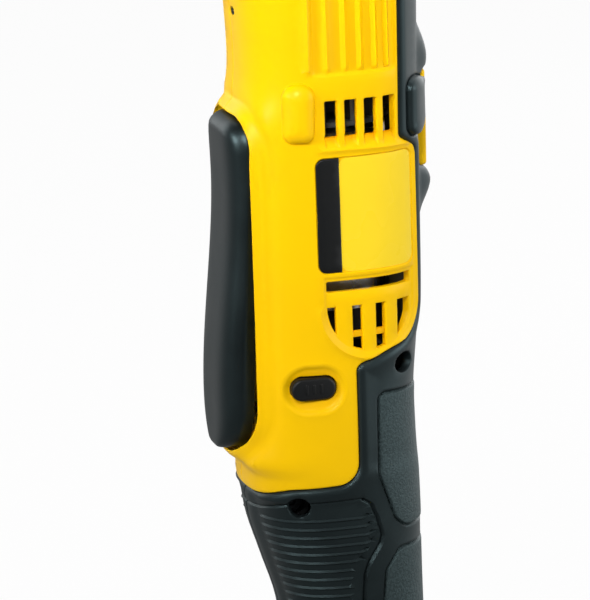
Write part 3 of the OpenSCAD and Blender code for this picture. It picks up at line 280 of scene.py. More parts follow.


# Each satin plastic's second colour is the painted shade of its recesses.
yellow_plastic = new_finish(
    "yellow_plastic", satin_plastic(colour(255, 202, 0), colour(240, 160, 0), 0.35, 0.3),
    Specular_IOR_Level=0.12)
RUBBER_SHEEN = {"Specular_IOR_Level": 0.55, "Specular_Tint": (0.66, 0.95, 1.0, 1.0)}
grip_rubber = new_finish(
    "grip_rubber", moulded_rubber(colour(20, 25, 26), colour(13, 17, 18), 0.42), **RUBBER_SHEEN)
paddle_rubber = new_finish(
    "paddle_rubber", moulded_rubber(colour(15, 19, 20), colour(10, 13, 14), 0.34), **RUBBER_SHEEN)
black_plastic = new_finish(
    "black_plastic", satin_plastic(colour(16, 18, 19), colour(11, 12, 13), 0.3, 0.4),
    Specular_IOR_Level=0.3)
pack_plastic = new_finish(
    "pack_plastic", satin_plastic(colour(44, 47, 49), colour(30, 32, 33), 0.5, 0.48))
fan_plastic = new_finish(
    "fan_plastic", satin_plastic(colour(72, 76, 78), colour(50, 52, 54), 0.4, 0.45))
print("plastics and rubbers:", yellow_plastic.name, grip_rubber.name, paddle_rubber.name)

# %% Metals, lens and cells
def worked_metal(light, dark, grain_mm, rough, stretch=(1, 1, 1), depth_mm=0.01):
    """Metal with the fine marks of how it was worked, and a faint film of oil in patches."""

    def recipe(wire):
        film = grain(wire, 9).clamp(0.35, 0.75)
        marks = grain(wire, grain_mm, 4.0, stretch)
        return {
            "Base Color": (0.7 * marks + 0.3 * film).mix(dark, light),
            "Roughness": rough + 0.12 * film + 0.08 * marks,
            "Normal": bump(wire, marks, depth_mm, 0.5),
        }

    return recipe


metals = {
    "head_metal": worked_metal(
        colour(150, 154, 156), colour(118, 121, 124), 0.45, 0.4, depth_mm=0.03),
    "bright_steel": worked_metal(colour(205, 207, 208), colour(172, 174, 176), 0.4, 0.2, (1, 6, 6)),
    "dark_steel": worked_metal(colour(74, 76, 79), colour(52, 54, 56), 0.3, 0.32),
    "gear_steel": worked_metal(colour(158, 160, 160), colour(124, 126, 127), 0.25, 0.3),
    "copper": worked_metal(colour(205, 120, 70), colour(168, 92, 50), 0.3, 0.28, (1, 1, 7)),
    "bronze": worked_metal(colour(176, 138, 84), colour(142, 108, 62), 0.3, 0.34),
    "magnet": worked_metal(colour(92, 94, 98), colour(70, 72, 76), 0.5, 0.45),
}
finishes = {name: new_finish(name, recipe, Metallic=1.0) for name, recipe in metals.items()}
finishes |= {
    "yellow_shell": yellow_plastic,
    "grip_rubber": grip_rubber,
    "paddle_rubber": paddle_rubber,
    "black_plastic": black_plastic,
    "pack_plastic": pack_plastic,
    "fan_plastic": fan_plastic,
    "latch_yellow": new_finish(
        "latch_yellow", satin_plastic(colour(250, 196, 0), colour(222, 158, 0), 0.3, 0.4)),
    "cell_wrap": new_finish(
        "cell_wrap", satin_plastic(colour(70, 132, 104), colour(52, 100, 78), 0.6, 0.25)),
    "lamp_lens": new_finish(
        "lamp_lens", satin_plastic(colour(120, 96, 72), colour(90, 70, 52), 0.4, 0.12),
        Transmission_Weight=0.4, IOR=1.49),
}
for row in frame["record"]["subparts"]:
    mesh = nodes[row["node"]].data
    mesh.materials.clear()
    mesh.materials.append(finishes[row["material_slot"]])
print("finishes:", ", ".join(sorted(finishes)))

# %% [markdown]
# ## The body as a map
#
# The two yellow halves and the rubber over them share one smooth outside. On the real tool every
# rib, vent, groove and pad is cut into or raised from that outside, so the lesson does the same. The
# outside is a stack of rounded sections, unrolled to a flat map: q runs from the front edge round the
# left side to the back, and z runs up. A moulded feature is then a plain outline on the map with a
# height, and one mesh carries them all. Sculpting or booleans would need a far denser mesh.

# %% Sections of the body
GRIP = FOOT + 26
SEAM = GRIP + 85
MOTOR = SEAM + 41
FAN = MOTOR + 60
FLANGE = FAN + 46
HALF_WIDTH = 25.7
# Level, front, back, half width and squareness of each section
SECTIONS = [
    (FOOT, -42, 50, 35, 6),
    (FOOT + 12, -42, 50, 35, 6),
    (FOOT + 20, -40, 48, 33.5, 5.4),
    (GRIP, -31, 38, 29, 4),
    (GRIP + 8, -20.5, 28.5, 21.5, 2.9),
    (GRIP + 24, -15.6, 24.6, 18, 2.7),
    (GRIP + 46, -17.6, 24, 19.5, 2.7),
    (SEAM - 24, -22, 23.7, 22, 2.7),
    (SEAM - 12, -25.5, 23.5, 24, 2.8),
    (SEAM, -27, 23.2, HALF_WIDTH - 0.7, 2.8),
    (SEAM + 3, -27.2, 23, HALF_WIDTH - 0.5, 2.8),
    (SEAM + 6.5, -30.5, 22.8, HALF_WIDTH - 0.4, 2.8),
    (SEAM + 13, -29.1, 22.5, HALF_WIDTH - 0.2, 2.8),
    (MOTOR - 17, -28.7, 22.4, HALF_WIDTH, 2.8),
    (MOTOR, -28.7, 24, HALF_WIDTH, 2.8),
    (MOTOR + 10, -28.7, 25, HALF_WIDTH, 2.8),
    (FAN - 28, -28.7, 25.6, HALF_WIDTH, 2.8),
    (FAN - 2, -28.7, 26, HALF_WIDTH, 2.8),
    (FAN + 5, -28, 26, HALF_WIDTH, 2.8),
    (FAN + 12, -25.7, 26, HALF_WIDTH, 2.8),
    (FAN + 20, -25, 26.2, HALF_WIDTH, 2.8),
    (FLANGE - 9, -25.6, 26.7, HALF_WIDTH, 2.8),
    (FLANGE, -26, 26.5, HALF_WIDTH - 0.2, 2.8),
    (TOP, -25.5, 26, HALF_WIDTH - 0.7, 2.8),
]


def look_up(table, rows, columns, r, c):
    """Values of a table with evenly spaced rows and columns, between its entries."""
    r = np.clip((r - rows[0]) / (rows[1] - rows[0]), 0, len(rows) - 1.001)
    c = np.clip((c - columns[0]) / (columns[1] - columns[0]), 0, len(columns) - 1.001)
    i = r.astype(int)
    j = c.astype(int)
    low = table[i, j] * (1 - c + j) + table[i, j + 1] * (c - j)
    high = table[i + 1, j] * (1 - c + j) + table[i + 1, j + 1] * (c - j)
    return low * (1 - r + i) + high * (r - i)


class Skin:
    """The body's smooth outside, as places on a flat map of q and z."""

    girth = 88.0

    def __init__(self, sections):
        self.rows = np.array(sections, float)
        last = len(self.rows) - 1
        order = np.arange(last + 1)
        after = self.rows[np.minimum(order + 1, last)]
        before = self.rows[np.maximum(order - 1, 0)]
        self.slopes = (after - before) / (after - before)[:, :1]
        self.levels = np.linspace(self.rows[0, 0], self.rows[-1, 0], 531)
        self.turns = np.linspace(math.pi, 2 * math.pi, 241)
        self.steps = np.linspace(0, self.girth, 241)
        z, turn = np.meshgrid(self.levels, self.turns, indexing="ij")
        x, y = self.section(turn, z)
        run = np.cumsum(np.hypot(np.diff(x, axis=1), np.diff(y, axis=1)), axis=1)
        run = np.pad(run, ((0, 0), (1, 0)))
        self.q_table = run / run[:, -1:] * self.girth
        self.turn_table = np.array([np.interp(self.steps, row, self.turns) for row in self.q_table])

    def measures(self, z):
        """Middle, half depth, half width and squareness of the section at each level."""
        i = np.clip(np.searchsorted(self.rows[:, 0], z, side="right") - 1, 0, len(self.rows) - 2)
        low = self.rows[i]
        high = self.rows[i + 1]
        rise = (high - low)[..., :1]
        t = np.clip((z[..., None] - low[..., :1]) / rise, 0, 1)
        ends = low * (1 + 2 * t) * (1 - t) ** 2 + high * t * t * (3 - 2 * t)
        lean = self.slopes[i] * t * (1 - t) ** 2 - self.slopes[i + 1] * t * t * (1 - t)
        front, back, half, square = np.moveaxis((ends + rise * lean)[..., 1:], -1, 0)
        return (front + back) / 2, (back - front) / 2, half, square

    def section(self, turn, z):
        """x and y of the place at an angle round the section, where pi is the front."""
        middle, depth, half, square = self.measures(z)
        c = np.cos(turn)
        s = np.sin(turn)
        swell = (np.abs(c) ** square + np.abs(s) ** square) ** (-1 / square)
        return middle + depth * c * swell, half * s * swell

    def place(self, q, z):
        """Places in space of points on the map."""
        x, y = self.section(look_up(self.turn_table, self.levels, self.steps, z, q), z)
        return np.stack([x, y, z], -1)

    def level_set(self, p):
        """A value that is 1 on the skin and grows outwards."""
        middle, depth, half, square = self.measures(p[:, 2])
        return np.abs((p[:, 0] - middle) / depth) ** square + np.abs(p[:, 1] / half) ** square

    def normal(self, p):
        """Outward directions at places on the skin."""
        reach = 0.05 * np.eye(3)
        slope = [self.level_set(p + d) - self.level_set(p - d) for d in reach]
        slope = np.stack(slope, -1)
        return slope / np.linalg.norm(slope, axis=1, keepdims=True)

    def from_side(self, outline):
        """An outline of x and z, seen from the left, moved to the map."""
        x, z = np.asarray(outline, float).T
        middle, depth, half, square = self.measures(z)
        along = np.clip((x - middle) / depth, -1, 1)
        out = (1 - np.abs(along) ** square) ** (1 / square)
        turn = 2 * math.pi - np.arctan2(out, along)
        return np.stack([look_up(self.q_table, self.levels, self.turns, z, turn), z], -1)

    def from_end(self, outline, back=False):
        """An outline of y and z, seen from the front or the back, moved to the map."""
        y, z = np.asarray(outline, float).T
        middle, depth, half, square = self.measures(z)
        out = np.clip(np.abs(y) / half, 0, 1)
        along = (1 - out ** square) ** (1 / square)
        turn = 2 * math.pi - np.arctan2(out, along if back else -along)
        q = look_up(self.q_table, self.levels, self.turns, z, turn)
        q = np.where(y > 0, 2 * self.girth - q if back else -q, q)
        return np.stack([q, z], -1)


skin = Skin(SECTIONS)
print("the map is", skin.girth, "by", round(TOP - FOOT, 1), "mm")

# %% [markdown]
# ## Outlines and reliefs
#
# An outline is a few corners with radii. A relief is an outline or a line on the map plus a profile:
# how high the plastic stands at a given distance from the line. Six profiles make everything on the
# body: a soft step, a groove, a dome, a rounded edge, a lip and a level field. Any of them can also
# fade with the place. Each relief names the distances where the mesh needs points, so the mesh is fine
# only where the shape turns.

# %% Outlines
def unit(v):
    return v / np.linalg.norm(v)


def rounded(corners, radii):
    """Points of an outline whose corners are arcs of the given radii."""
    corners = np.asarray(corners, float)
    points = []
    for i, radius in enumerate(radii):
        corner = corners[i]
        if radius == 0:
            points.append(corner)
            continue
        back = unit(corners[i - 1] - corner)
        on = unit(corners[(i + 1) % len(corners)] - corner)
        half = math.acos(np.clip(back @ on, -1, 1)) / 2
        middle = corner + unit(back + on) * radius / math.sin(half)
        start = corner + back * radius / math.tan(half) - middle
        end = corner + on * radius / math.tan(half) - middle
        steps = max(4, math.ceil(radius * (math.pi - 2 * half) / 0.45))
        points += [middle + radius * unit(start * (1 - s) + end * s) for s in share_out(steps)]
    return np.array(points)


def box(x0, x1, z0, z1, radius=0.0):
    """A rounded rectangle."""
    reach = min(x1 - x0, z1 - z0) / 2 - 0.02
    return rounded([(x0, z0), (x1, z0), (x1, z1), (x0, z1)], [min(radius, reach)] * 4)


def circle(x, z, radius, count=28):
    turns = 2 * math.pi * np.arange(count) / count
    return np.stack([x + radius * np.cos(turns), z + radius * np.sin(turns)], -1)


def filled(path, spacing, closed=True):
    """A path with points added so that none is further than spacing from the next."""
    path = np.asarray(path, float)
    ends = np.roll(path, -1, axis=0) if closed else path[1:]
    points = []
    for a, b in zip(path, ends):
        count = max(1, math.ceil(np.linalg.norm(b - a) / spacing))
        points += [a + (b - a) * k / count for k in range(count)]
    if not closed:
        points.append(path[-1])
    return np.array(points)


def inside(points, loop):
    """Which points lie inside a closed loop."""
    within = np.zeros(len(points), bool)
    x, z = points.T
    for (ax, az), (bx, bz) in zip(loop, np.roll(loop, -1, axis=0)):
        if az != bz:
            spans = (az > z) != (bz > z)
            within ^= spans & (x < ax + (z - az) * (bx - ax) / (bz - az))
    return within


def distance(points, path, closed):
    """Distance of points from a path."""
    a = path if closed else path[:-1]
    d = np.roll(path, -1, axis=0) - path if closed else np.diff(path, axis=0)
    length = np.maximum((d ** 2).sum(1), 1e-12)
    nearest = np.full(len(points), np.inf)
    for start, way, size in zip(a, d, length):
        off = points - start
        t = np.clip((off @ way) / size, 0, 1)
        nearest = np.minimum(nearest, ((off - t[:, None] * way) ** 2).sum(1))
    return np.sqrt(nearest)


def on_side(outline, spacing=0.5, closed=True):
    """An outline of x and z, seen from the left, as a fine line on the map."""
    return skin.from_side(filled(outline, spacing, closed))


def on_end(outline, spacing=0.5, back=True):
    """An outline of y and z, seen from the back or the front, as a fine line on the map."""
    return skin.from_end(filled(outline, spacing), back)


print("a soft square has", len(box(0, 10, 0, 10, 2)), "points")

# %% Reliefs
class Relief:
    """A moulded feature: a path on the map, and the height of the plastic by the distance from it."""

    def __init__(self, path, profile, reach, rows, closed=True, spacing=0.6):
        self.path = filled(path, spacing, closed)
        self.profile = profile
        self.reach = reach
        self.rows = rows
        self.closed = closed

    def height(self, points):
        """Height at points of the map. The distance is positive inside a closed path."""
        near = np.all(np.abs(points - self.middle()) < self.half_size() + self.reach, axis=1)
        gap = distance(points[near], self.path, self.closed)
        if self.closed:
            gap = np.where(inside(points[near], self.path), gap, -gap)
        result = np.zeros(len(points))
        result[near] = self.profile(gap)
        return result

    def middle(self):
        return (self.path.min(0) + self.path.max(0)) / 2

    def half_size(self):
        return (self.path.max(0) - self.path.min(0)) / 2

    def mesh_points(self):
        """Points beside the path, at the distance of each row."""
        path = self.path
        ways = np.roll(path, -1, axis=0) - np.roll(path, 1, axis=0)
        if not self.closed:
            ways[0] = path[1] - path[0]
            ways[-1] = path[-1] - path[-2]
        ways /= np.maximum(np.linalg.norm(ways, axis=1, keepdims=True), 1e-9)
        left = np.stack([-ways[:, 1], ways[:, 0]], -1)
        around = np.roll(path, -1, axis=0)
        area = (path[:, 0] * around[:, 1] - path[:, 1] * around[:, 0]).sum()
        if self.closed and area < 0:
            left = -left
        points = np.concatenate([path + left * row for row in self.rows])
        sizes = np.repeat(np.abs(self.rows), len(path))
        return points[distance(points, path, self.closed) > 0.93 * sizes - 0.01]


def ease(t):
    """0 to 1 with a soft start and end."""
    t = np.clip(t, 0, 1)
    return t * t * (3 - 2 * t)


def bulge(t):
    """0 to 1 along a quarter of a circle."""
    return np.sqrt(1 - (1 - np.clip(t, 0, 1)) ** 2)


def step(path, height, soft=0.8):
    """A field that stands a height above what is round it, with soft edges."""
    rows = soft * np.array([-0.5, -0.2, 0.2, 0.5])
    return Relief(path, lambda gap: height * ease(gap / soft + 0.5), soft, rows)


def groove(path, width, depth, closed=False, spacing=0.6):
    """A round bottomed line, or a raised one where the depth is negative."""
    rows = width * np.array([-0.5, -0.25, 0, 0.25, 0.5])
    profile = lambda gap: -depth * ease(1 - np.abs(gap) * 2 / width)
    return Relief(path, profile, width, rows, closed, spacing)


def dome(path, height, run):
    """A cushion that rises from its outline over a run and is level beyond."""
    rows = run * np.array([0, 0.04, 0.14, 0.32, 0.6, 1.0])
    profile = lambda gap: np.where(gap > 0, height * bulge(gap / run), 0)
    return Relief(path, profile, 0.1, rows)


def edge(path, drop, width, closed=True):
    """The rounding where a shell ends."""
    rows = width * np.array([0.12, 0.4, 1.0])
    rows = np.concatenate([-rows, rows])
    profile = lambda gap: drop * (bulge(np.abs(gap) / width) - 1)
    return Relief(path, profile, width, rows, closed)


def lip(path, height, run):
    """A swelling beside an open line, which runs out softly on both sides."""
    rows = run * np.array([0.3, 0.5, 0.75, 1.0])
    rows = np.concatenate([-rows, rows])
    return Relief(path, lambda gap: height * ease(1 - gap / run), run, rows, closed=False)


def level_field(path, height, run):
    """A field of one height up to its outline, with mesh points over a run inside it."""
    rows = run * np.array([0, 0.08, 0.2, 0.35, 0.5, 0.65, 0.8, 1.0])
    return Relief(path, lambda gap: np.where(gap > 0, height, 0), 0.1, rows)


def faded(relief, share):
    """A relief whose height is cut to a share that depends on the place."""
    full = relief.height
    relief.height = lambda points: full(points) * share(points)
    return relief


print("profiles:", [make.__name__ for make in (step, groove, dome, edge, lip, level_field)])

# %% [markdown]
# ## A shell from its map
#
# The outline and holes of a shell are fixed lines, the reliefs give points beside their paths, and a
# staggered grid fills what is left. A constrained triangulation joins them, and each point is then
# lifted off the skin by the sum of its reliefs. A second skin inside, joined round every edge, gives
# the shell its wall, so the piece is a closed solid. The heights are also painted on the mesh, for
# the painted shade in the low places, and so is the stipple of the pads.

# %% Building a shell
GRID = 2.0


def rows_of_points(low, high):
    """A staggered grid between two corners of the map."""
    rows = np.arange(low[1], high[1], GRID * 0.87)
    return np.concatenate([
        np.stack([np.arange(low[0] + GRID / 2 * (k % 2), high[0], GRID)] * 2, -1) * (1, 0) + (0, z)
        for k, z in enumerate(rows)])


def thinned(points, cell):
    """Points with only one left in each square cell."""
    _, first = np.unique(np.round(points / cell), axis=0, return_index=True)
    return points[np.sort(first)]


def away_from(points, others, gap):
    """The points that are further than a gap from all the others."""
    tree = KDTree(len(others))
    for i, p in enumerate(others):
        tree.insert((*p, 0), i)
    tree.balance()
    return points[[tree.find((*p, 0))[2] > gap for p in points]]


def map_mesh(limit, holes, reliefs):
    """Points and triangles that cover the limit but not the holes."""
    loops = [filled(limit, 0.9)] + [filled(hole, 0.5) for hole in holes]
    fixed = np.concatenate(loops)
    edges = []
    for loop in loops:
        start = len(edges)
        edges += [(start + k, start + (k + 1) % len(loop)) for k in range(len(loop))]
    guides = np.concatenate([relief.mesh_points() for relief in reliefs])
    guides = thinned(guides[inside(guides, loops[0])], 0.16)
    guides = away_from(guides, fixed, 0.11)
    field = rows_of_points(fixed.min(0), fixed.max(0))
    field = field[inside(field, loops[0])]
    field = away_from(field, np.concatenate([fixed, guides]), 0.5 * GRID)
    points = np.concatenate([fixed, guides, field])
    corners, _, triangles, *_ = delaunay_2d_cdt(points.tolist(), edges, [], 0, 1e-5, False)
    corners = np.array([tuple(c) for c in corners])
    triangles = np.array(triangles)
    centres = corners[triangles].mean(1)
    keep = inside(centres, loops[0])
    for loop in loops[1:]:
        keep &= ~inside(centres, loop)
    used, packed = np.unique(triangles[keep], return_inverse=True)
    return corners[used], packed.reshape(-1, 3)


def moulded_shell(name, limit, holes, reliefs, wall, side, pads=(), **rest):
    """A closed shell of the body, on the left where side is -1 and mirrored to the right where it is 1."""
    flat, triangles = map_mesh(limit, holes, reliefs)
    height = sum(relief.height(flat) for relief in reliefs)
    place = skin.place(*flat.T)
    normal = skin.normal(place)
    outer = place + normal * height[:, None]
    inner = place - normal * wall
    corners = np.concatenate([outer, inner]) * (1, -side, 1)
    sides = np.concatenate([triangles[:, [0, 1]], triangles[:, [1, 2]], triangles[:, [2, 0]]])
    paired = {(a, b) for a, b in sides.tolist()}
    rim = [(a, b) for a, b in paired if (b, a) not in paired]
    count = len(flat)
    faces = triangles.tolist() + (triangles[:, ::-1] + count).tolist()
    faces += [(b, a, a + count, b + count) for a, b in sorted(rim)]
    if side > 0:
        faces = [face[::-1] for face in faces]
    made = add_piece(name, (corners, faces), **rest)
    stipple = np.zeros(count)
    for pad in pads:
        stipple = np.maximum(stipple, inside(flat, pad))
    for key, values in (("relief", height), ("pad", stipple)):
        layer = made.data.attributes.new(key, "FLOAT", "POINT")
        layer.data.foreach_set("value", np.concatenate([values, values]))
    print(name, "has", len(faces), "faces")


HALVES = (("left", -1), ("right", 1))
print("grid of", GRID, "mm for", len(HALVES), "halves")

# %% [markdown]
# ## The line between shell and rubber
#
# Seen from the side, the yellow shell ends in one long line: down the back, out round a shoulder,
# along the narrow spine, in a hook over the grip, down the front of the hand, and round the seam
# under the paddle. Both shells use the same line, so they meet everywhere.

# %% The border and the paddle's opening
spine_x = 16.2
slim_x = 22
grip_x = 1.0
border_side = rounded(
    [(17, TOP), (spine_x, FAN - 1.4), (slim_x, FAN - 5.4), (slim_x, MOTOR + 1.5), (grip_x, MOTOR - 5.6),
     (grip_x, SEAM + 0.8), (-19, SEAM - 0.1), (-27.4, SEAM - 3.1), (-34, SEAM - 3.4)],
    [0, 2.4, 3, 11, 2.6, 6.5, 14, 3, 0])
border = on_side(border_side, 0.7, closed=False)
yellow_limit = np.concatenate([[(0, TOP)], border])
rubber_limit = np.concatenate([border, [(0, FOOT), (skin.girth, FOOT), (skin.girth, TOP)]])

paddle_box = node_box("paddle")
paddle_low = paddle_box[0][2]
paddle_top = paddle_box[1][2] - 2
paddle_half = paddle_box[1][1] + 1.7
slot_low = paddle_low - 0.95
slot_top = paddle_top + 0.8
slot_half = paddle_half + 0.6


def slot_outline(grow):
    """The paddle's opening seen from the front, drawn out by some millimetres."""
    half = slot_half + grow
    low = slot_low - grow
    top = slot_top + grow
    corners = [(-half, low), (half, low), (half, top), (-half, top)]
    return rounded(corners, [14.6 + grow, 14.6 + grow, 9.6 + grow, 9.6 + grow])


slot_front = slot_outline(0)
paddle_opening = on_end(slot_front, 0.6, back=False)
print("border of", len(border), "points, opening", round(slot_top - slot_low, 1), "mm long")

# %% [markdown]
# ## The yellow shell
#
# From the top down: six flutes under the head, a pill shaped boss beside four vents, a flat field with
# a bare plate and a dark strip, a half round grille over the motor's brushes, and a sunken rest for the
# button that sets the direction. A soft bead runs round the paddle's opening, with a shallow valley
# beside it.

# %% Vents, grille and holes
VENT_PITCH = 5.75
VENT_LOW = FAN + 0.5
VENT_TOP = FAN + 11
vent_places = -4.1 + VENT_PITCH * np.arange(4)
vents = [box(x - 1.85, x + 1.85, VENT_LOW, VENT_TOP, 0.5) for x in vent_places]
GRILLE = np.array([6.2, MOTOR + 11])
GRILLE_SIZE = np.array([13.8, 13.3])


def grille_edge(inset, count=44):
    """The half ellipse of the grille, drawn in by an inset."""
    turns = math.pi * (1 + share_out(count))
    size = GRILLE_SIZE - inset
    return GRILLE + size * np.stack([np.cos(turns), np.sin(turns)], -1)


def grille_gap(x0, x1):
    """One upright gap of the grille, from its cross bar down to the ellipse."""
    size = GRILLE_SIZE - 0.8
    x = x0 + (x1 - x0) * share_out(7)
    low = GRILLE[1] - size[1] * np.sqrt(np.clip(1 - ((x - GRILLE[0]) / size[0]) ** 2, 0, 1))
    top = GRILLE[1] + 0.7
    return np.concatenate([np.stack([x, np.minimum(low, top - 1.5)], -1), [(x1, top), (x0, top)]])


gap_spans = [(-6.9, -4.4), (0.4, 3.3), (7.5, 10.4), (14.5, 18.6)]
grille_field = np.concatenate([grille_edge(0), [(20, GRILLE[1] + 9.3), (-7.6, GRILLE[1] + 9.3)]])
grille_holes = [box(-7.0, 19.2, GRILLE[1] + 5.1, GRILLE[1] + 8.2, 0.5)]
grille_holes += [grille_gap(*span) for span in gap_spans]
eye = np.array([-2.5, np.mean(node_box("work_lamp"), axis=0)[2] - 1.6])
EYE_R = 1.3
EYE_WIDE = np.array([1.65, 1])
eye_hole = skin.from_end(eye + EYE_WIDE * circle(0, 0, EYE_R))
yellow_holes = [on_side(h) for h in vents + grille_holes]
yellow_holes.append(paddle_opening)
print("holes in each yellow half:", len(yellow_holes))

# %% Flutes, boss, plate and button rest
FLUTE_LOW = FAN + 20
FLUTE_TOP = FLANGE - 4
flutes = [(-10, 2.9), (-4.8, 2.9), (0.5, 2.6), (5, 2.5), (9.4, 2.4), (13, 2.1)]
flute_field = box(-8.9, 15.6, FLUTE_LOW - 1.6, FLUTE_TOP + 2, 1.6)
flute_reliefs = [step(on_side(flute_field, 0.6), -0.75, 1.2)]
for x, width in flutes:
    rise = on_side([(x, FLUTE_LOW), (x, FLUTE_TOP)], 0.5, closed=False)
    flute_reliefs.append(groove(rise, width, -1.2))
boss = rounded(
    [(-18, FAN - 0.4), (-9.2, FAN - 0.4), (-8.4, FAN + 16.4), (-17.2, FAN + 16.4)], [3, 3, 4.2, 4.2])
PLATE_LOW = MOTOR + 21.6
PLATE_TOP = MOTOR + 54.8
plate = box(-9.2, 20.3, PLATE_LOW, PLATE_TOP, 2.6)
button_low, button_high = node_box("direction_button")
button_rest = box(-20, -2.5, MOTOR - 18.6, MOTOR - 4.7, 7)
BUTTON_GAP = 0.35
button_hole = box(
    button_low[0] - BUTTON_GAP, button_high[0] + BUTTON_GAP,
    button_low[2] - BUTTON_GAP, button_high[2] + BUTTON_GAP, 3.6)
bead_top = [(-7, PLATE_TOP + 2.2), (20.2, PLATE_TOP + 1.6), (21.3, PLATE_TOP - 2)]
bead_side = np.concatenate([bead_top, grille_edge(-1.5)[::-1]])


def sill(x):
    """A slope that leads into a vent from below."""
    low = VENT_LOW - 3
    path = on_side(box(x - 1.85, x + 1.85, low, VENT_LOW + 0.8, 0.3))
    return faded(step(path, -2, 0.6), lambda points: np.clip((points[:, 1] - low) / 3, 0, 1))


def below_the_lip(points):
    """The bead's share of its height: it runs out towards the top of the opening."""
    return 0.3 + 0.7 * ease((slot_top - points[:, 1]) / 14)


yellow_reliefs = flute_reliefs + [sill(x) for x in vent_places]
yellow_reliefs += [
    dome(on_side(boss), 3.0, 4.4),
    step(on_side(plate, 0.6), -0.55, 0.45),
    step(on_side(grille_field), -0.45, 0.8),
    groove(on_side(bead_side, 0.6, closed=False), 2.4, -0.55),
    groove(on_side(button_rest), 3.4, -0.6, closed=True),
    step(on_side(button_rest), -1.2, 3.4),
    faded(groove(paddle_opening, 5.0, -1.3, closed=True), below_the_lip),
    groove(on_end(slot_outline(3.8), 0.6, back=False), 5.0, 0.75, closed=True),
    edge(border, 0.5, 0.7, closed=False),
    edge([(0, SEAM - 3), (0, TOP)], 0.2, 0.3, closed=False),
]
yellow_reliefs += [edge(hole, 0.3, 0.4) for hole in yellow_holes]
yellow_holes.append(on_side(button_hole))
yellow_reliefs.append(edge(yellow_holes[-1], 0.2, 0.3))
print("yellow reliefs:", len(yellow_reliefs))

# %% The two yellow halves
WALL = 2.4
for half, side in HALVES:
    holes = yellow_holes + [eye_hole] if side < 0 else yellow_holes
    moulded_shell(
        f"yellow_shell_{half}", yellow_limit, holes, yellow_reliefs, WALL, side,
        slot="yellow_shell", replaces=[f"housing_{half}"])

# %% The plate, its dark strip and the bar in the grille
strip_side = rounded(
    [(-9, PLATE_LOW + 0.2), (-2.3, PLATE_LOW + 0.2), (-2.3, PLATE_TOP - 0.2), (-9, PLATE_TOP - 0.2)],
    [2.4, 0, 0, 2.4])
strip = on_side(strip_side, 0.6)
bar = on_side(box(-0.4, 11.2, MOTOR + 2.4, MOTOR + 4.2, 0.4))
bar_bed = on_side(box(-3, 14, MOTOR, MOTOR + 7, 0.4))
blank = on_side(box(-2.3, 20.1, PLATE_LOW + 0.2, PLATE_TOP - 0.2, 2.4), 0.6)
plate_yellow = new_finish(
    "plate_yellow", satin_plastic(colour(255, 219, 38), colour(248, 200, 20), 0.5, 0.24),
    Specular_IOR_Level=0.2)
for half, side in HALVES:
    moulded_shell(
        f"plate_blank_{half}", blank, [], [step(blank, -0.3, 0.2), edge(blank, 0.15, 0.3)], 0.8, side,
        slot="yellow_shell", finish=plate_yellow)
    moulded_shell(
        f"plate_strip_{half}", strip, [], [edge(strip, 0.25, 0.4)], 0.8, side, slot="black_plastic")
    moulded_shell(
        f"grille_bar_{half}", bar, [], [step(bar_bed, -1.3, 0.5), edge(bar, 0.2, 0.3)], WALL, side,
        slot="yellow_shell")

# %% [markdown]
# ## The rubber grip
#
# The rubber is moulded over the lower housing and up the spine. Fine ribs cross the front where the
# fingers close, stippled pads bounded by grooves sit in the palm, a groove follows the seam under the
# yellow shell, and two soft humps on the spine keep the speed selector from being knocked.

# %% Pads and their grooves
PAD_BACK = 27.0
palm_pad = rounded(
    [(PAD_BACK, SEAM - 14.6), (15.1, SEAM - 14.2), (12, SEAM - 11.5), (7, SEAM + 2.3), (7.2, SEAM + 26.5),
     (PAD_BACK, SEAM + 25.8)], [0, 3, 4, 5, 2.4, 0])
heel_pad = rounded(
    [(PAD_BACK, SEAM - 20.4), (13.4, SEAM - 20.7), (9.2, SEAM - 26.8), (8.7, SEAM - 36), (7.6, GRIP + 20),
     (PAD_BACK, GRIP + 15)], [0, 2, 4, 8, 5, 0])
pad_edges = [on_side(pad, 0.6, closed=False) for pad in (palm_pad, heel_pad)]
pad_fields = [np.concatenate([pad, [(skin.girth + 1, pad[-1, 1]), (skin.girth + 1, pad[0, 1])]])
              for pad in pad_edges]
rubber_reliefs = [groove(pad, 1.3, 0.85) for pad in pad_edges]
rubber_reliefs += [step(field, 0.3, 2.4) for field in pad_fields]
spine_pill = on_side(box(18.8, 25.9, FAN - 2.4, FAN + 14.4, 3.3))
rubber_reliefs += [dome(spine_pill, 2.4, 3.3), groove(spine_pill, 1.3, 0.5, closed=True)]
print("pads:", len(pad_fields), "and one pill on each side of the spine")

# %% Finger ribs
RIB_PITCH = 2.65
RIB_START = 8.4
RIB_COUNT = 21
panel_right = np.array([
    (2, SEAM - 4.4), (4.4, SEAM - 6), (6.3, SEAM - 10.6), (7.9, SEAM - 16), (7.4, SEAM - 18.4),
    (4, SEAM - 24), (2.9, SEAM - 28), (2.7, SEAM - 35.2), (2.4, GRIP + 18)])
rib_levels = SEAM - 10 - RIB_PITCH * np.arange(RIB_COUNT)
for level in rib_levels:
    right = np.interp(level, panel_right[::-1, 1], panel_right[::-1, 0]) - 4.4
    end = skin.from_side([(right, level)])[0]
    rib = groove([(RIB_START, level), end], 1.0, -0.55, spacing=0.9)
    rubber_reliefs.append(faded(rib, lambda points: ease((points[:, 0] - RIB_START) / 4.5)))
    if level > SEAM - 24:
        dot = skin.from_side([(right + 1.3, level + 0.8), (right + 1.5, level + 0.8)])
        rubber_reliefs.append(groove(dot, 1.1, 0.7))
panel_edge = on_side(rounded(panel_right, [0, 1.5, 3, 2, 2, 4, 3, 5, 0]), 0.6, closed=False)
panel = np.concatenate([panel_edge, [(-4, GRIP + 18), (-4, SEAM - 4.4)]])
panel_field = faded(step(panel, -0.7, 1.6), lambda points: ease((points[:, 0] - 3.5) / 6.5))
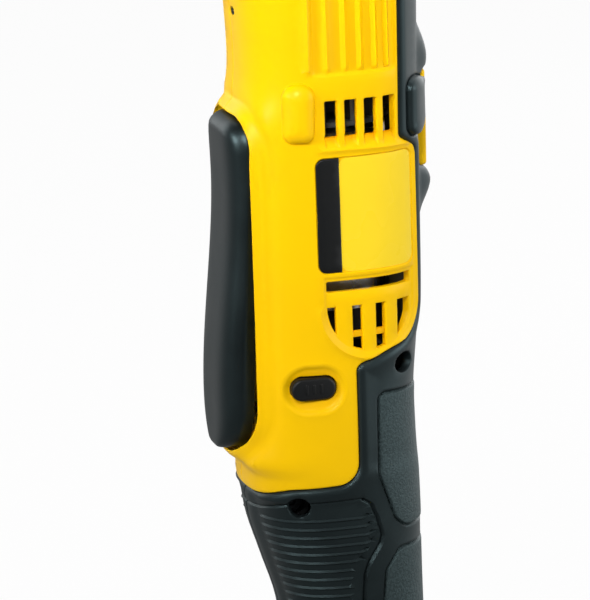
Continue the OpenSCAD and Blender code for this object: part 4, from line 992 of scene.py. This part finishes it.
rubber_reliefs += [panel_field, groove(panel_edge, 1.4, 0.7)]
seam_side = [(2, SEAM - 4.1), (-13, SEAM - 4.3), (-20, SEAM - 4.9), (-24.5, SEAM - 6.2), (-30, SEAM - 11)]
seam_line = on_side(rounded(seam_side, [0, 5, 5, 5, 0]), 0.6, closed=False)
rubber_reliefs.append(groove(seam_line, 1.2, 0.5))
print("finger ribs:", RIB_COUNT)

# %% Guards, foot and holes
knob_low, knob_high = node_box("speed_selector")


def guard(low, high, peak, height):
    """A hump across the spine. The peak is a share of its length, counted from below."""
    def share(points):
        up = np.clip((points[:, 1] - low) / (high - low), 0, 1)
        across = np.abs(points[:, 0] - skin.girth)
        return np.sin(math.pi * up ** (math.log(0.5) / math.log(peak))) * ease((14 - across) / 8)

    path = on_end(box(-13, 13, low, high, 3), 0.6)
    return faded(level_field(path, height, 8.6), share)


rubber_reliefs.append(guard(knob_high[2] - 2.4, knob_high[2] + 16.2, 0.38, 3.7))
rubber_reliefs.append(guard(knob_low[2] - 28, knob_low[2] - 8.4, 0.69, 4.2))
rubber_reliefs += [
    groove([(-2, FOOT + 15), (skin.girth + 2, FOOT + 15)], 1.4, 0.6, spacing=0.9),
    groove([(-2, FOOT + 2.6), (skin.girth + 2, FOOT + 2.6)], 1.0, 0.4, spacing=0.9),
    faded(lip(border, 0.9, 7.0), lambda points: ease((points[:, 0] - 5) / 12)),
    edge(border, 1.7, 2.6, closed=False),
    edge([(skin.girth, FOOT), (skin.girth, TOP)], 0.25, 0.4, closed=False),
    edge([(0, FOOT), (0, SEAM)], 0.25, 0.4, closed=False),
    edge([(0, FOOT), (skin.girth, FOOT)], 0.5, 0.6, closed=False),
]
screw_places = [(16, MOTOR - 7), (-16.4, SEAM - 5.5), (5, GRIP + 34), (-31, GRIP - 7), (38, GRIP - 7)]
SCREW_BORE = 3.05
screw_holes = [skin.from_side(circle(x, z, SCREW_BORE)) for x, z in screw_places]
window_half = 9.0
window_low = knob_low[2] - 10.5
window_top = knob_high[2] + 2
window = on_end(box(-window_half, window_half, window_low, window_top, 1.6))
rail_half = 28.8
channel_top = FOOT + 11.7
mouth = on_end(box(-rail_half, rail_half, FOOT - 6, channel_top, 2.0), 0.6, back=False)
rubber_holes = [window, mouth]
rubber_reliefs += [edge(hole, 0.4, 0.6) for hole in rubber_holes]
print("openings in the rubber:", len(rubber_holes), "and", len(screw_holes), "screw holes on the left")

# %% The two rubber halves
RUBBER = 2.5
for half, side in HALVES:
    own_holes = screw_holes if side < 0 else []
    moulded_shell(
        f"grip_rubber_{half}", rubber_limit, rubber_holes + own_holes,
        rubber_reliefs + [edge(hole, 0.4, 0.5) for hole in own_holes], RUBBER, side, pads=pad_fields,
        slot="grip_rubber", replaces=[f"overmould_{half}"])

# %% [markdown]
# ## Rings and soft blocks
#
# Buttons, knobs, the paddle and the pack are all stacks of rings: an outline that is drawn in a little
# at each end, so that every edge is round. One function joins any stack of rings into a closed mesh,
# and another joins rings that lead round to the first again, as the wall of a pipe does.

# %% Stacks of rings
def ring_faces(count, rings, closed_ends=True):
    """Quads between rings of equal count, and a face over each end."""
    faces = []
    for j in range(rings - 1):
        a = j * count
        faces += [(a + k, a + (k + 1) % count, a + count + (k + 1) % count, a + count + k)
                  for k in range(count)]
    if closed_ends:
        faces.append(tuple(range(count))[::-1])
        faces.append(tuple(range((rings - 1) * count, rings * count)))
    return faces


def soft_ring(x0, x1, y0, y1, radius, steps=7):
    """A rounded rectangle with the same number of points whatever its size."""
    radius = max(0.05, min(radius, (x1 - x0) / 2 - 0.01, (y1 - y0) / 2 - 0.01))
    turns = math.pi / 2 * share_out(steps)
    points = []
    for k, (cx, cy) in enumerate([(x1 - radius, y1 - radius), (x0 + radius, y1 - radius),
                                  (x0 + radius, y0 + radius), (x1 - radius, y0 + radius)]):
        a = turns + k * math.pi / 2
        points.append(np.stack([cx + radius * np.cos(a), cy + radius * np.sin(a)], -1))
    return np.concatenate(points)


def round_ends(low, high, radius_low, radius_high, steps=6):
    """Pairs of level and inset that round both ends of a stack."""
    turns = math.pi / 2 * share_out(steps)
    start = [(low + radius_low * (1 - math.sin(a)), radius_low * (1 - math.cos(a))) for a in turns[::-1]]
    end = [(high - radius_high * (1 - math.sin(a)), radius_high * (1 - math.cos(a))) for a in turns]
    return start + end


AXES = {"x": [2, 0, 1], "y": [0, 2, 1], "z": [0, 1, 2]}


def stack(rings, axis="z"):
    """Corners and faces of a closed stack. Rings are pairs of an outline and its level on the axis."""
    order = AXES[axis]
    corners = [np.column_stack([outline, np.full(len(outline), level)])[:, order]
               for outline, level in rings]
    faces = ring_faces(len(rings[0][0]), len(rings))
    if axis == "y":
        faces = [face[::-1] for face in faces]
    return np.concatenate(corners), faces


def joined(meshes):
    """One list of corners and faces from several."""
    corners = []
    faces = []
    start = 0
    for points, own in meshes:
        corners.append(np.asarray(points))
        faces += [tuple(start + k for k in face) for face in own]
        start += len(points)
    return np.concatenate(corners), faces


def soft_block(x0, x1, y0, y1, radius, levels, axis="z", steps=7):
    """A stack of one rounded rectangle. Levels are pairs of a level and how far it is drawn in there."""
    return stack([(soft_ring(x0 + i, x1 - i, y0 + i, y1 - i, radius, steps), level)
                  for level, i in levels], axis)


def at_depth(x, ring):
    """Places of a ring of y and z at a depth x, which may differ from point to point."""
    return np.column_stack([np.broadcast_to(x, len(ring)), ring])


def pipe(rings, turned=True):
    """A closed mesh of rings of places, the last of which leads to the first. Turned flips its faces."""
    count = len(rings[0])
    last = count * (len(rings) - 1)
    faces = ring_faces(count, len(rings), closed_ends=False)
    faces += [(last + k, last + (k + 1) % count, (k + 1) % count, k) for k in range(count)]
    return np.concatenate(rings), [face[::-1] for face in faces] if turned else faces


print("ways a stack can run:", ", ".join(AXES))

# %% [markdown]
# ## The paddle
#
# The paddle is a plastic lever with soft rubber over it. Its front is broad and fullest at its foot,
# and its sides draw in to the opening. It is a stack of D shaped rings with square shoulders. The
# frame gives its box, and the pin that it turns on lies near its top.

# %% Paddle
paddle_back = paddle_box[1][0]
paddle_reach = paddle_box[0][0] + 0.35
pin_level = np.mean(node_box("paddle_pin"), axis=0)[2]


def paddle_front(z):
    """How far forward the paddle stands: a slight knuckle at the top, and full at its foot."""
    t = (paddle_top - z) / (paddle_top - paddle_low)
    return paddle_reach + 4.6 * (1 - ease((t - 0.2) / 0.65)) - 0.45 * (1 - ease(t / 0.2))


def paddle_ring(z, count=61):
    """The paddle's section at a level, narrower near both ends."""
    up = paddle_top - z
    down = z - paddle_low
    half = paddle_half
    if up < 9:
        half = paddle_half - 9 * (1 - bulge(up / 9))
    elif down < 14:
        half = paddle_half - 14 * (1 - bulge(down / 14))
    rear = paddle_back - 5.4 * max(0, pin_level - z) / (pin_level - paddle_low)
    swell = (0.33 + 0.67 * bulge(up / 4.5)) * (0.8 + 0.2 * bulge(down / 2))
    deep = (rear - paddle_front(z)) * swell
    turns = math.pi / 2 + math.pi * share_out(count)
    c, s = np.cos(turns), np.sin(turns)
    forward = np.abs(c) ** 0.42
    x = rear - deep * forward
    waist = 1 - 0.2 * forward - 0.12 * (1 - ease(forward / 0.45))
    y = half * np.sign(s) * np.abs(s) ** 0.42 * waist
    return np.stack([x, y], -1)


ends = np.array([0, 0.15, 0.45, 0.9, 1.6, 2.5, 3.6, 5, 7, 9.5, 12])
middle_levels = np.linspace(paddle_low + 15, paddle_top - 15, 30)
levels = np.concatenate([paddle_low + ends, middle_levels, paddle_top - ends[::-1]])
lever = stack([(paddle_ring(z), z) for z in levels])
add_piece("paddle_lever", lever, "paddle_rubber", "paddle", ["paddle"], sharp=60)
PIN_TRIM = 1.5
pin_low, pin_high = node_box("paddle_pin")
pin_x = (pin_low[0] + pin_high[0]) / 2
pin_r = (pin_high[0] - pin_low[0]) / 2
pin_ends = round_ends(pin_low[1] + PIN_TRIM, pin_high[1] - PIN_TRIM, 0.4, 0.4, 4)
pin = stack([(circle(pin_x, pin_level, pin_r - i), y) for y, i in pin_ends], "y")
add_piece("paddle_hinge_pin", pin, "bright_steel", frame_body("paddle_pin"), ["paddle_pin"])
print("paddle from", round(paddle_low, 1), "to", round(paddle_top, 1))

# %% [markdown]
# ## The paddle's pocket
#
# Behind the paddle the shell turns in to a pocket with a floor, through which only the switch's
# plunger passes. Without it one could look into the works when the paddle swings. A coil spring at the
# plunger's level pushes the paddle out again. Here it is one coil at its length at rest.

# %% Pocket
POCKET_FLOOR = -21.5
POCKET_WALL = 1.5
FLOOR_WALL = 2
PLUNGER_BORE = 2.75
pocket_ring = filled(slot_front, 0.8)


def pocket_rim(points):
    """x of the shell over each point of y and z."""
    return skin.place(*skin.from_end(points).T)[:, 0]


outward = pocket_ring - (0, (slot_low + slot_top) / 2)
grown = pocket_ring + POCKET_WALL * outward / np.linalg.norm(outward, axis=1, keepdims=True)
plunger_level = np.mean(node_box("switch_plunger"), axis=0)[2]
bore = circle(0, plunger_level, PLUNGER_BORE, len(pocket_ring))
start = np.argmin(np.arctan2(pocket_ring[:, 1] - plunger_level, pocket_ring[:, 0]) % (2 * math.pi))
bore = np.roll(bore, start, axis=0)
pocket = pipe([
    at_depth(pocket_rim(pocket_ring) + 0.9, pocket_ring),
    at_depth(POCKET_FLOOR, pocket_ring),
    at_depth(POCKET_FLOOR, bore),
    at_depth(POCKET_FLOOR + FLOOR_WALL, bore),
    at_depth(POCKET_FLOOR + FLOOR_WALL, grown),
    at_depth(pocket_rim(grown) + 1.4, grown),
])
add_piece("paddle_pocket", pocket, "yellow_shell")
print("pocket", round(slot_top - slot_low, 1), "mm long")

# %% Return spring
spring_low, spring_high = node_box("paddle_spring")
WIRE_R = 0.35
WIRE_SIDES = 8
SPRING_TURNS = 3.5
coil_r = (spring_high[1] - spring_low[1]) / 2 - WIRE_R
along = share_out(85)[:, None]
coil = 2 * math.pi * SPRING_TURNS * along
outward = np.concatenate([0 * coil, np.cos(coil), np.sin(coil)], axis=1)
wire_line = (spring_high[0] - WIRE_R, 0, plunger_level) + coil_r * outward
wire_line -= (spring_high[0] - spring_low[0] - 2 * WIRE_R) * along * (1, 0, 0)
strands = [wire_line + WIRE_R * (math.cos(t) * outward - math.sin(t) * np.array([1, 0, 0]))
           for t in 2 * math.pi * np.arange(WIRE_SIDES) / WIRE_SIDES]
coil_shape = np.stack(strands, 1).reshape(-1, 3), ring_faces(WIRE_SIDES, len(along))
spring = add_piece("return_spring", coil_shape, "bright_steel", replaces=["paddle_spring"])
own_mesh(spring)
print("spring", round(spring_high[0] - spring_low[0], 1), "mm long at rest")

# %% [markdown]
# ## Buttons, lamp and screws
#
# The direction button passes right through the tool and shows on both sides. The speed selector
# slides in a channel of a yellow bed on the spine. A small work lamp looks out of an oval window, and
# five screws hold the halves together from the left, each at the bottom of a deep bore.

# %% Direction button
BUTTON_TRIM = 2.5
x0, y0, z0 = button_low + (0, BUTTON_TRIM, 0)
x1, y1, z1 = button_high - (0, BUTTON_TRIM, 0)
blocks = [soft_block(x0, x1, z0, z1, (z1 - z0) / 2, round_ends(y0, y1, 0.9, 0.9), "y", 11)]
for y in (y0, y1):
    ridge_levels = round_ends(y - 0.2, y + 0.2, 0.15, 0.15, 4)
    for x in (x0 + x1) / 2 + 2.1 * np.array([-1, 0, 1]):
        blocks.append(soft_block(x - 0.4, x + 0.4, z0 + 1.8, z1 - 1.8, 0.35, ridge_levels, "y", 4))
add_piece("direction_rocker", joined(blocks), "black_plastic", "direction", ["direction_button"])
print("direction button", round(x1 - x0, 1), "by", round(z1 - z0, 1), "mm")

# %% Speed selector
BED_RISE = 2.8
KNOB_BASE = 26.35
KNOB_TOP = 26 + BED_RISE + 0.1
KNOB_HALF = 6.3
knob_level = (knob_low[2] + knob_high[2]) / 2
body_levels = round_ends(KNOB_BASE, KNOB_TOP - 0.4, 0.2, 0.6)
ridge_levels = round_ends(KNOB_TOP - 0.8, KNOB_TOP, 0.1, 0.4, 4)
blocks = [soft_block(-KNOB_HALF, KNOB_HALF, knob_low[2], knob_high[2], 2.2, body_levels, "x")]
for z in knob_level + 2.4 * np.arange(-2, 3):
    blocks.append(soft_block(-5.2, 5.2, z - 0.75, z + 0.75, 0.7, ridge_levels, "x", 4))
stem = soft_ring(-3.5, 3.5, knob_level - 2.9, knob_level + 2.9, 0.6)
blocks.append(stack([(stem, knob_low[0] + 0.05), (stem, KNOB_BASE + 0.5)], "x"))
add_piece("speed_knob", joined(blocks), "black_plastic", "shifter", ["speed_selector"])

# %% The selector's bed
BED_HALF = window_half - 0.2
bed_low = window_low + 0.2
bed_top = window_top - 0.2
bed_side = rounded(
    [(-BED_HALF, bed_low), (0, bed_low), (0, bed_top), (-BED_HALF, bed_top)], [1.4, 0, 0, 1.4])
bed_limit = on_end(bed_side)
bed_swell = on_end(box(-BED_HALF, BED_HALF, bed_low, bed_top, 1.4))
stem_slot = on_end(box(-3.9, 3.9, knob_low[2] - 1.6, knob_high[2] - 4.8, 0.5))
knob_channel = on_end(box(-KNOB_HALF - 0.3, KNOB_HALF + 0.3, bed_low + 1.2, bed_top - 0.6, 1.2))
bed_reliefs = [
    dome(bed_swell, BED_RISE, 1.0), step(knob_channel, -BED_RISE, 0.3), edge(stem_slot, 0.3, 0.4)]
for half, side in HALVES:
    moulded_shell(
        f"selector_bed_{half}", bed_limit, [stem_slot], bed_reliefs, WALL, side, slot="yellow_shell")

# %% Lamp and screw bores
eye_x = skin.place(*skin.from_end([eye]).T)[0, 0]
# How far behind the skin and how wide each ring of the bezel is
BEZEL = [
    (2.6, 0.9), (0.5, 0.9), (0.25, 0.98), (0.15, 1.1), (0.25, 1.22), (0.6, EYE_R), (2.6, EYE_R)]
bezel = pipe([at_depth(eye_x + x, eye + EYE_WIDE * circle(0, 0, r)) for x, r in BEZEL])
add_piece("lamp_bezel", bezel, "black_plastic")
lens_levels = round_ends(eye_x + 0.4, eye_x + 2.6, 0.5, 0.1, 4)
lens = stack([(eye + EYE_WIDE * circle(0, 0, 0.88 - inset), x) for x, inset in lens_levels], "x")
add_piece("lamp_eye", lens, "lamp_lens", replaces=["work_lamp"])
SCREW_SEAT = -12.4
SCREW_OUTER = SCREW_BORE + 1.2
bores = []
for x, z in screw_places:
    surface = skin.place(*skin.from_side(circle(x, z, SCREW_OUTER)).T)[:, 1].max() + 2.0
    wall = [(SCREW_BORE, surface), (SCREW_BORE, SCREW_SEAT),
            (SCREW_OUTER, SCREW_SEAT), (SCREW_OUTER, surface)]
    bores.append(pipe([np.insert(circle(x, z, r), 1, y, axis=1) for r, y in wall]))
add_piece("screw_bores", joined(bores), "black_plastic")
print("screw bores:", len(bores))

# %% [markdown]
# ## The head
#
# The head is a casting: no edge on it is sharp, and its parts run into each other in soft fillets. A
# stack of rings can't do that where two round bodies cross. So the CAD case is copied, a few cast
# features are added as rough solids, a voxel remesh fuses them, and smoothing rounds every edge.

# %% Lathe work
def lathe(profile, axis_level, count=64, flutes=0, depth=0.0):
    """A closed turned mesh about the chuck's axis. The profile has x, radius and how much it is fluted."""
    turns = 2 * math.pi * np.arange(count) / count
    dip = ease((np.cos(flutes * turns) - 0.35) / 0.5) * depth
    rings = []
    for x, radius, share in profile:
        r = radius - dip * share
        rings.append(at_depth(x, np.column_stack([r * np.cos(turns), axis_level + r * np.sin(turns)])))
    return pipe(rings)


def ring_about_chuck(x0, x1, inner, outer):
    """A plain ring about the chuck's axis, to be fused into a casting."""
    return lathe([(x0, inner, 0), (x0, outer, 0), (x1, outer, 0), (x1, inner, 0)], head_axis)


chuck_low, chuck_high = node_box("chuck_sleeve")
head_axis = (chuck_low[2] + chuck_high[2]) / 2
print("chuck axis at", round(head_axis, 1), "mm")

# %% Cast case and bearing plate
def cast(name, node, extras, voxel, rounds, slot):
    """A CAD node and some extra solids fused and rounded as a casting is."""
    solid = bmesh.new()
    solid.from_mesh(nodes[node].data)
    bmesh.ops.remove_doubles(solid, verts=solid.verts, dist=1e-6)
    rough = bpy.data.meshes.new(name + "_rough")
    solid.to_mesh(rough)
    solid.free()
    points = np.array([v.co for v in rough.vertices]) / MM
    shape = joined([(points, [tuple(p.vertices) for p in rough.polygons])] + extras)
    made = add_piece(name, shape, slot, frame_body(node), [node])
    fuse = made.modifiers.new("fuse", "REMESH")
    fuse.mode = "VOXEL"
    fuse.voxel_size = voxel * MM
    soften = made.modifiers.new("soften", "SMOOTH")
    soften.factor = 0.5
    soften.iterations = rounds
    ready = made.evaluated_get(bpy.context.evaluated_depsgraph_get())
    made.data = bpy.data.meshes.new_from_object(ready)
    made.modifiers.clear()
    made.data.shade_smooth()
    bpy.data.meshes.remove(rough)
    print(name, "has", len(made.data.polygons), "faces")


case_box = node_box("gear_case")
barrel_r = case_box[1][2] - head_axis
bands = [ring_about_chuck(x - 1.6, x + 1.6, barrel_r - 1.5, barrel_r + 0.7) for x in (14, -19.5)]
hub = [ring_about_chuck(case_box[1][0] - 1.0, case_box[1][0] + 1.1, 0.5, 9.5)]
cast("cast_head", "gear_case", bands + hub, 0.75, 7, "head_metal")
cast("cast_bearing_plate", "bearing_plate", [], 0.6, 5, "head_metal")

# %% [markdown]
# ## The chuck
#
# The keyless chuck's sleeve is turned plastic with flutes that the hand grips. Its flutes run out
# softly at both ends, and a plain ring stands at its nose.

# %% Chuck sleeve
back_x = chuck_high[0]
nose_x = chuck_low[0]
sleeve_r = (chuck_high[2] - chuck_low[2]) / 2
nut_low, nut_high = node_box("chuck_nut")
nut_r = (nut_high[2] - nut_low[2]) / 2 + 0.12
bore_r = 16.3
flute_run = [(back_x - 4.2 - 18.6 * s, sleeve_r, float(bulge(min(s, 1 - s) * 7)))
             for s in share_out(30)]
# How far from its end and how far below the sleeve's radius each ring lies
BACK_EDGE = [(0, 1.6), (0.4, 0.7), (1.2, 0.15), (2.2, 0)]
NOSE_EDGE = [
    (8.6, 0), (8.2, 0.5), (7.4, 0.5), (7.0, 0.1), (5.6, 0.8), (3.2, 3.2), (1.0, 5.4), (0.3, 6.2), (0, 7.0)]
nut_front = nut_low[0] - 0.1
nut_back = nut_high[0] + 0.1
profile = [(back_x, bore_r, 0)]
profile += [(back_x - x, sleeve_r - drop, 0) for x, drop in BACK_EDGE]
profile += flute_run
profile += [(nose_x + x, sleeve_r - drop, 0) for x, drop in NOSE_EDGE]
profile += [(nose_x, 12.6, 0), (nose_x + 5.6, bore_r, 0)]
profile += [(nut_front, bore_r, 0), (nut_front, nut_r, 0), (nut_back, nut_r, 0), (nut_back, bore_r, 0)]
sleeve = lathe(profile, head_axis, 240, 20, 1.0)
add_piece("fluted_sleeve", sleeve, "black_plastic", "sleeve", ["chuck_sleeve"])
print("sleeve", round(2 * sleeve_r, 1), "mm across")

# %% [markdown]
# ## Collar and foot
#
# At the top the two halves end in a collar round the head's neck. Under the foot they form the
# channel that the pack's rails slide into, with a lip on each side and a stop at the back.

# %% Collar and channel
COLLAR_POINTS = 96
COLLAR_SHARE = 1 - 1.3 / 25
neck_r = (case_box[1][1] - case_box[0][1]) / 2 - 0.1
turns = 2 * math.pi * np.arange(COLLAR_POINTS) / COLLAR_POINTS
top_x, top_y = skin.section(turns, np.full(COLLAR_POINTS, TOP))
top_middle = skin.measures(np.array([TOP]))[0][0]
rim = np.column_stack([top_middle + (top_x - top_middle) * COLLAR_SHARE, top_y * COLLAR_SHARE])
hole = np.column_stack([np.cos(turns), np.sin(turns)]) * (neck_r + 0.2)
layers = [
    (rim, TOP - 3), (rim, TOP - 0.35), (hole * 1.02, TOP - 0.2), (hole, TOP - 0.6), (hole, TOP - 3)]
collar = pipe([np.column_stack([ring, np.full(COLLAR_POINTS, z)]) for ring, z in layers], turned=False)
add_piece("collar_ring", collar, "yellow_shell")

lip_low = FOOT + 0.3
lip_top = FOOT + 3.5
roof = channel_top + 3
stop_x = node_box("terminal_block")[1][0]
mouth_half = rail_half - 3.3
bay = []
middle, depth, half, square = [m[0] for m in skin.measures(np.array([FOOT + 1.0]))]
for x in np.concatenate([[middle - depth + 1.6], np.linspace(-36, 44, 9), [middle + depth - 3]]):
    out = half * (1 - abs((x - middle) / depth) ** square) ** (1 / square) - 1.6
    inner = min(mouth_half, out - 0.4)
    wide = min(rail_half, out - 0.2)
    left = [(-out, lip_low), (-inner, lip_low), (-inner, lip_top), (-wide, lip_top), (-wide, channel_top)]
    right = [(-y, z) for y, z in left[::-1]]
    bay.append((np.array(left + right + [(out, roof), (-out, roof)]), x))
stop_ring = soft_ring(-rail_half + 0.1, rail_half - 0.1, FOOT + 0.3, channel_top + 1, 0.4, 3)
stop = [(stop_ring, stop_x), (stop_ring, stop_x + 3)]
channel = joined([stack(bay, "x"), stack(stop, "x")])
add_piece("foot_channel", channel, "black_plastic", sharp=30)
print("channel", round(2 * rail_half, 1), "mm wide")

# %% [markdown]
# ## The pack
#
# The pack is out of the photograph's view, so it follows the usual slide pack: a base and a cover
# that meet in a shadow line, rails on top, finger ribs along the sides, and a sprung latch in front
# that the thumb presses down.

# %% Pack base and cover
base_low, base_high = node_box("battery_base")
PACK_CORNER = 9.0


def pack_ring(inset):
    """The pack's outline, drawn in by an inset."""
    x0, y0 = base_low[:2] + inset
    x1, y1 = base_high[:2] - inset
    return soft_ring(x0, x1, y0, y1, PACK_CORNER - inset, 9)


PACK_WALL = 2.4
floor_z = base_low[2] + PACK_WALL
seam_z = base_high[2]
outer = round_ends(base_low[2], seam_z, 2.6, 0.5)
waist = [(9.4, 0), (10.0, 0.5), (14.4, 0.5), (15.0, 0)]
inner_levels = [(seam_z, PACK_WALL), (floor_z, PACK_WALL)]
base_levels = outer[:6] + waist + outer[6:] + inner_levels
base = stack([(pack_ring(inset), z) for z, inset in base_levels])
add_piece("pack_base", base, "pack_plastic", "battery", ["battery_base"], sharp=50)

ribs = []
for side in (-1, 1):
    face_y = side * (base_high[1] - 0.1)
    rib_depths = [(face_y + side * h, i) for h, i in round_ends(-0.6, 0.75, 0.1, 0.6, 5)]
    for x in 20 + 3.4 * np.arange(9):
        corners, faces = soft_block(x - 0.9, x + 0.9, 16.6, 24.2, 0.8, rib_depths, "y", 5)
        ribs.append((corners, faces if side > 0 else [face[::-1] for face in faces]))
add_piece("pack_ribs", joined(ribs), "pack_plastic", "battery")
print("pack", (base_high - base_low)[:2].round(1), "mm")

# %% Cover and latch
def softened(node, width, turn=35):
    """Rounds the edges of a CAD node that is shown as it is."""
    made = nodes[node]
    weld = made.modifiers.new("weld", "WELD")
    weld.merge_threshold = 1e-6
    bevel = made.modifiers.new("bevel", "BEVEL")
    bevel.width = width * MM
    bevel.segments = 3
    bevel.limit_method = "ANGLE"
    bevel.angle_limit = math.radians(turn)
    bevel.use_clamp_overlap = True
    made.data.shade_smooth()
    made.data.set_sharp_from_angle(angle=math.radians(turn))


for node, width in (("battery_cover", 0.6), ("battery_latch", 0.7), ("chuck_body", 0.4)):
    softened(node, width)
latch_low, latch_high = node_box("battery_latch")
thumb_top = FOOT + 3.0
thumb_levels = round_ends(thumb_top - 0.5, thumb_top + 0.5, 0.1, 0.45, 5)
bars = [soft_block(x - 0.55, x + 0.55, latch_low[1] + 1.4, latch_high[1] - 1.4, 0.5, thumb_levels, steps=5)
        for x in latch_low[0] + 1.5 + 1.75 * np.arange(3)]
add_piece("latch_ridges", joined(bars), "latch_yellow", "latch")
print("latch ridges:", len(bars))

# %% [markdown]
# ## Camera, light and floor
#
# The photograph is a long lens view from the left and front, a little above, with the tool leaning a
# little. The light is plain: two narrow lamps from the left and the front, a larger one from the right,
# and three broad ones over and behind the tool. The floor is white to the camera, graded from dark to
# white in reflections, as a studio is, and still takes the shadow.

# %% Camera
scene = bpy.context.scene
PIXEL = 0.285
VIEW_HEIGHT = 600 * PIXEL * MM
DISTANCE = 1.6
target = Vector((-9.5, 0, 200.6)) * MM
azimuth = math.radians(-15)
elevation = math.radians(14)
back = Vector((math.sin(azimuth) * math.cos(elevation), -math.cos(azimuth) * math.cos(elevation),
               math.sin(elevation)))
lens = bpy.data.cameras.new("camera")
camera = bpy.data.objects.new("camera", lens)
scene.collection.objects.link(camera)
lens.sensor_fit = "VERTICAL"
lens.sensor_height = 36
lens.lens = 36 * DISTANCE / VIEW_HEIGHT
lens.clip_end = 20
camera.location = target + back * DISTANCE
turn = (-back).to_track_quat("-Z", "Y").to_matrix() @ Matrix.Rotation(math.radians(-2), 3, "Z")
camera.rotation_euler = turn.to_euler()
scene.camera = camera
print("lens", round(lens.lens), "mm at", DISTANCE, "m")

# %% Lamps and floor
def soft_lamp(name, place, size, power, spread=180, aim=target):
    """A square lamp that faces the tool. A smaller spread keeps its light together, as a grid does."""
    data = bpy.data.lights.new(name, "AREA")
    data.size = size
    data.energy = power
    data.spread = math.radians(spread)
    lamp = bpy.data.objects.new(name, data)
    scene.collection.objects.link(lamp)
    lamp.location = Vector(place)
    lamp.rotation_euler = (aim - lamp.location).to_track_quat("-Z", "Y").to_euler()


head_aim = Vector((0, 0, 0.36))
soft_lamp("left", (-1.0, -0.4, 0.65), 0.35, 0.46, 38, head_aim)
soft_lamp("front", (-0.45, -0.95, 1.0), 0.3, 0.32, 25, head_aim)
soft_lamp("right", (0.95, -0.5, 0.45), 0.6, 4.4)
soft_lamp("top", (0.1, 0.3, 1.3), 0.8, 4)
soft_lamp("rim", (-0.6, 0.9, 0.6), 0.8, 3)
soft_lamp("back", (0.8, 0.9, 0.5), 0.8, 3)


def ray(wire, kind):
    """1 for rays of one kind, and 0 for all others."""
    return wire.node("ShaderNodeLightPath", output=f"Is {kind} Ray")


def shown_rays(wire):
    """1 for rays of the camera and of clear pieces."""
    return wire.maths("MAXIMUM", ray(wire, "Camera"), ray(wire, "Transmission"))


def in_reflections(wire, place, size):
    """How bright the studio is: dark behind the camera, pale at the back, white on the right."""
    where = wire.node("ShaderNodeTexCoord", output=place)
    right = wire.node("ShaderNodeSeparateXYZ", (), {0: where}, output="X")
    back = wire.node("ShaderNodeSeparateXYZ", (), {0: where}, output="Y")
    return 0.1 + 0.25 * back.clamp(-0.6 * size, 0.4 * size) + 0.7 * right.clamp(0.25 * size, 0.6 * size)


def paper(wire):
    """White to the camera, as bright as the studio in reflections, and else paper that takes shadows."""
    glossy = ray(wire, "Glossy")
    strength = shown_rays(wire) + glossy * in_reflections(wire, "Object", 0.8)
    matt = wire.node("ShaderNodeBsdfDiffuse", (), {"Color": (0.6, 0.6, 0.6, 1)}, output="BSDF")
    glow = wire.node("ShaderNodeEmission", (), {"Strength": strength}, output="Emission")
    shared = {0: 0.96 * shown_rays(wire) + glossy, 1: matt, 2: glow}
    return wire.node("ShaderNodeMixShader", (), shared, output="Shader")


floor_finish = bpy.data.materials.new("paper")
floor_finish.use_nodes = True
floor_wire = Wire(floor_finish.node_tree)
floor_out = floor_finish.node_tree.nodes["Material Output"]
floor_finish.node_tree.links.new(paper(floor_wire).socket, floor_out.inputs["Surface"])
floor_mesh = bpy.data.meshes.new("floor")
floor_mesh.from_pydata([(-6, -6, 0), (6, -6, 0), (6, 6, 0), (-6, 6, 0)], [], [(0, 1, 2, 3)])
floor_mesh.materials.append(floor_finish)
floor = bpy.data.objects.new("floor", floor_mesh)
scene.collection.objects.link(floor)

world = bpy.data.worlds.new("studio")
world.use_nodes = True
scene.world = world
world_wire = Wire(world.node_tree)
sky = world.node_tree.nodes["Background"]
sky.inputs["Color"].default_value = (1, 1, 1, 1)
AMBIENT = 0.35
seen = shown_rays(world_wire)
mirrored = ray(world_wire, "Glossy") * (in_reflections(world_wire, "Generated", 1.0) - AMBIENT)
world.node_tree.links.new((AMBIENT + (1 - AMBIENT) * seen + mirrored).socket, sky.inputs["Strength"])
scene.view_settings.view_transform = "Standard"
print("lamps, floor and sky are set")

# %% [markdown]
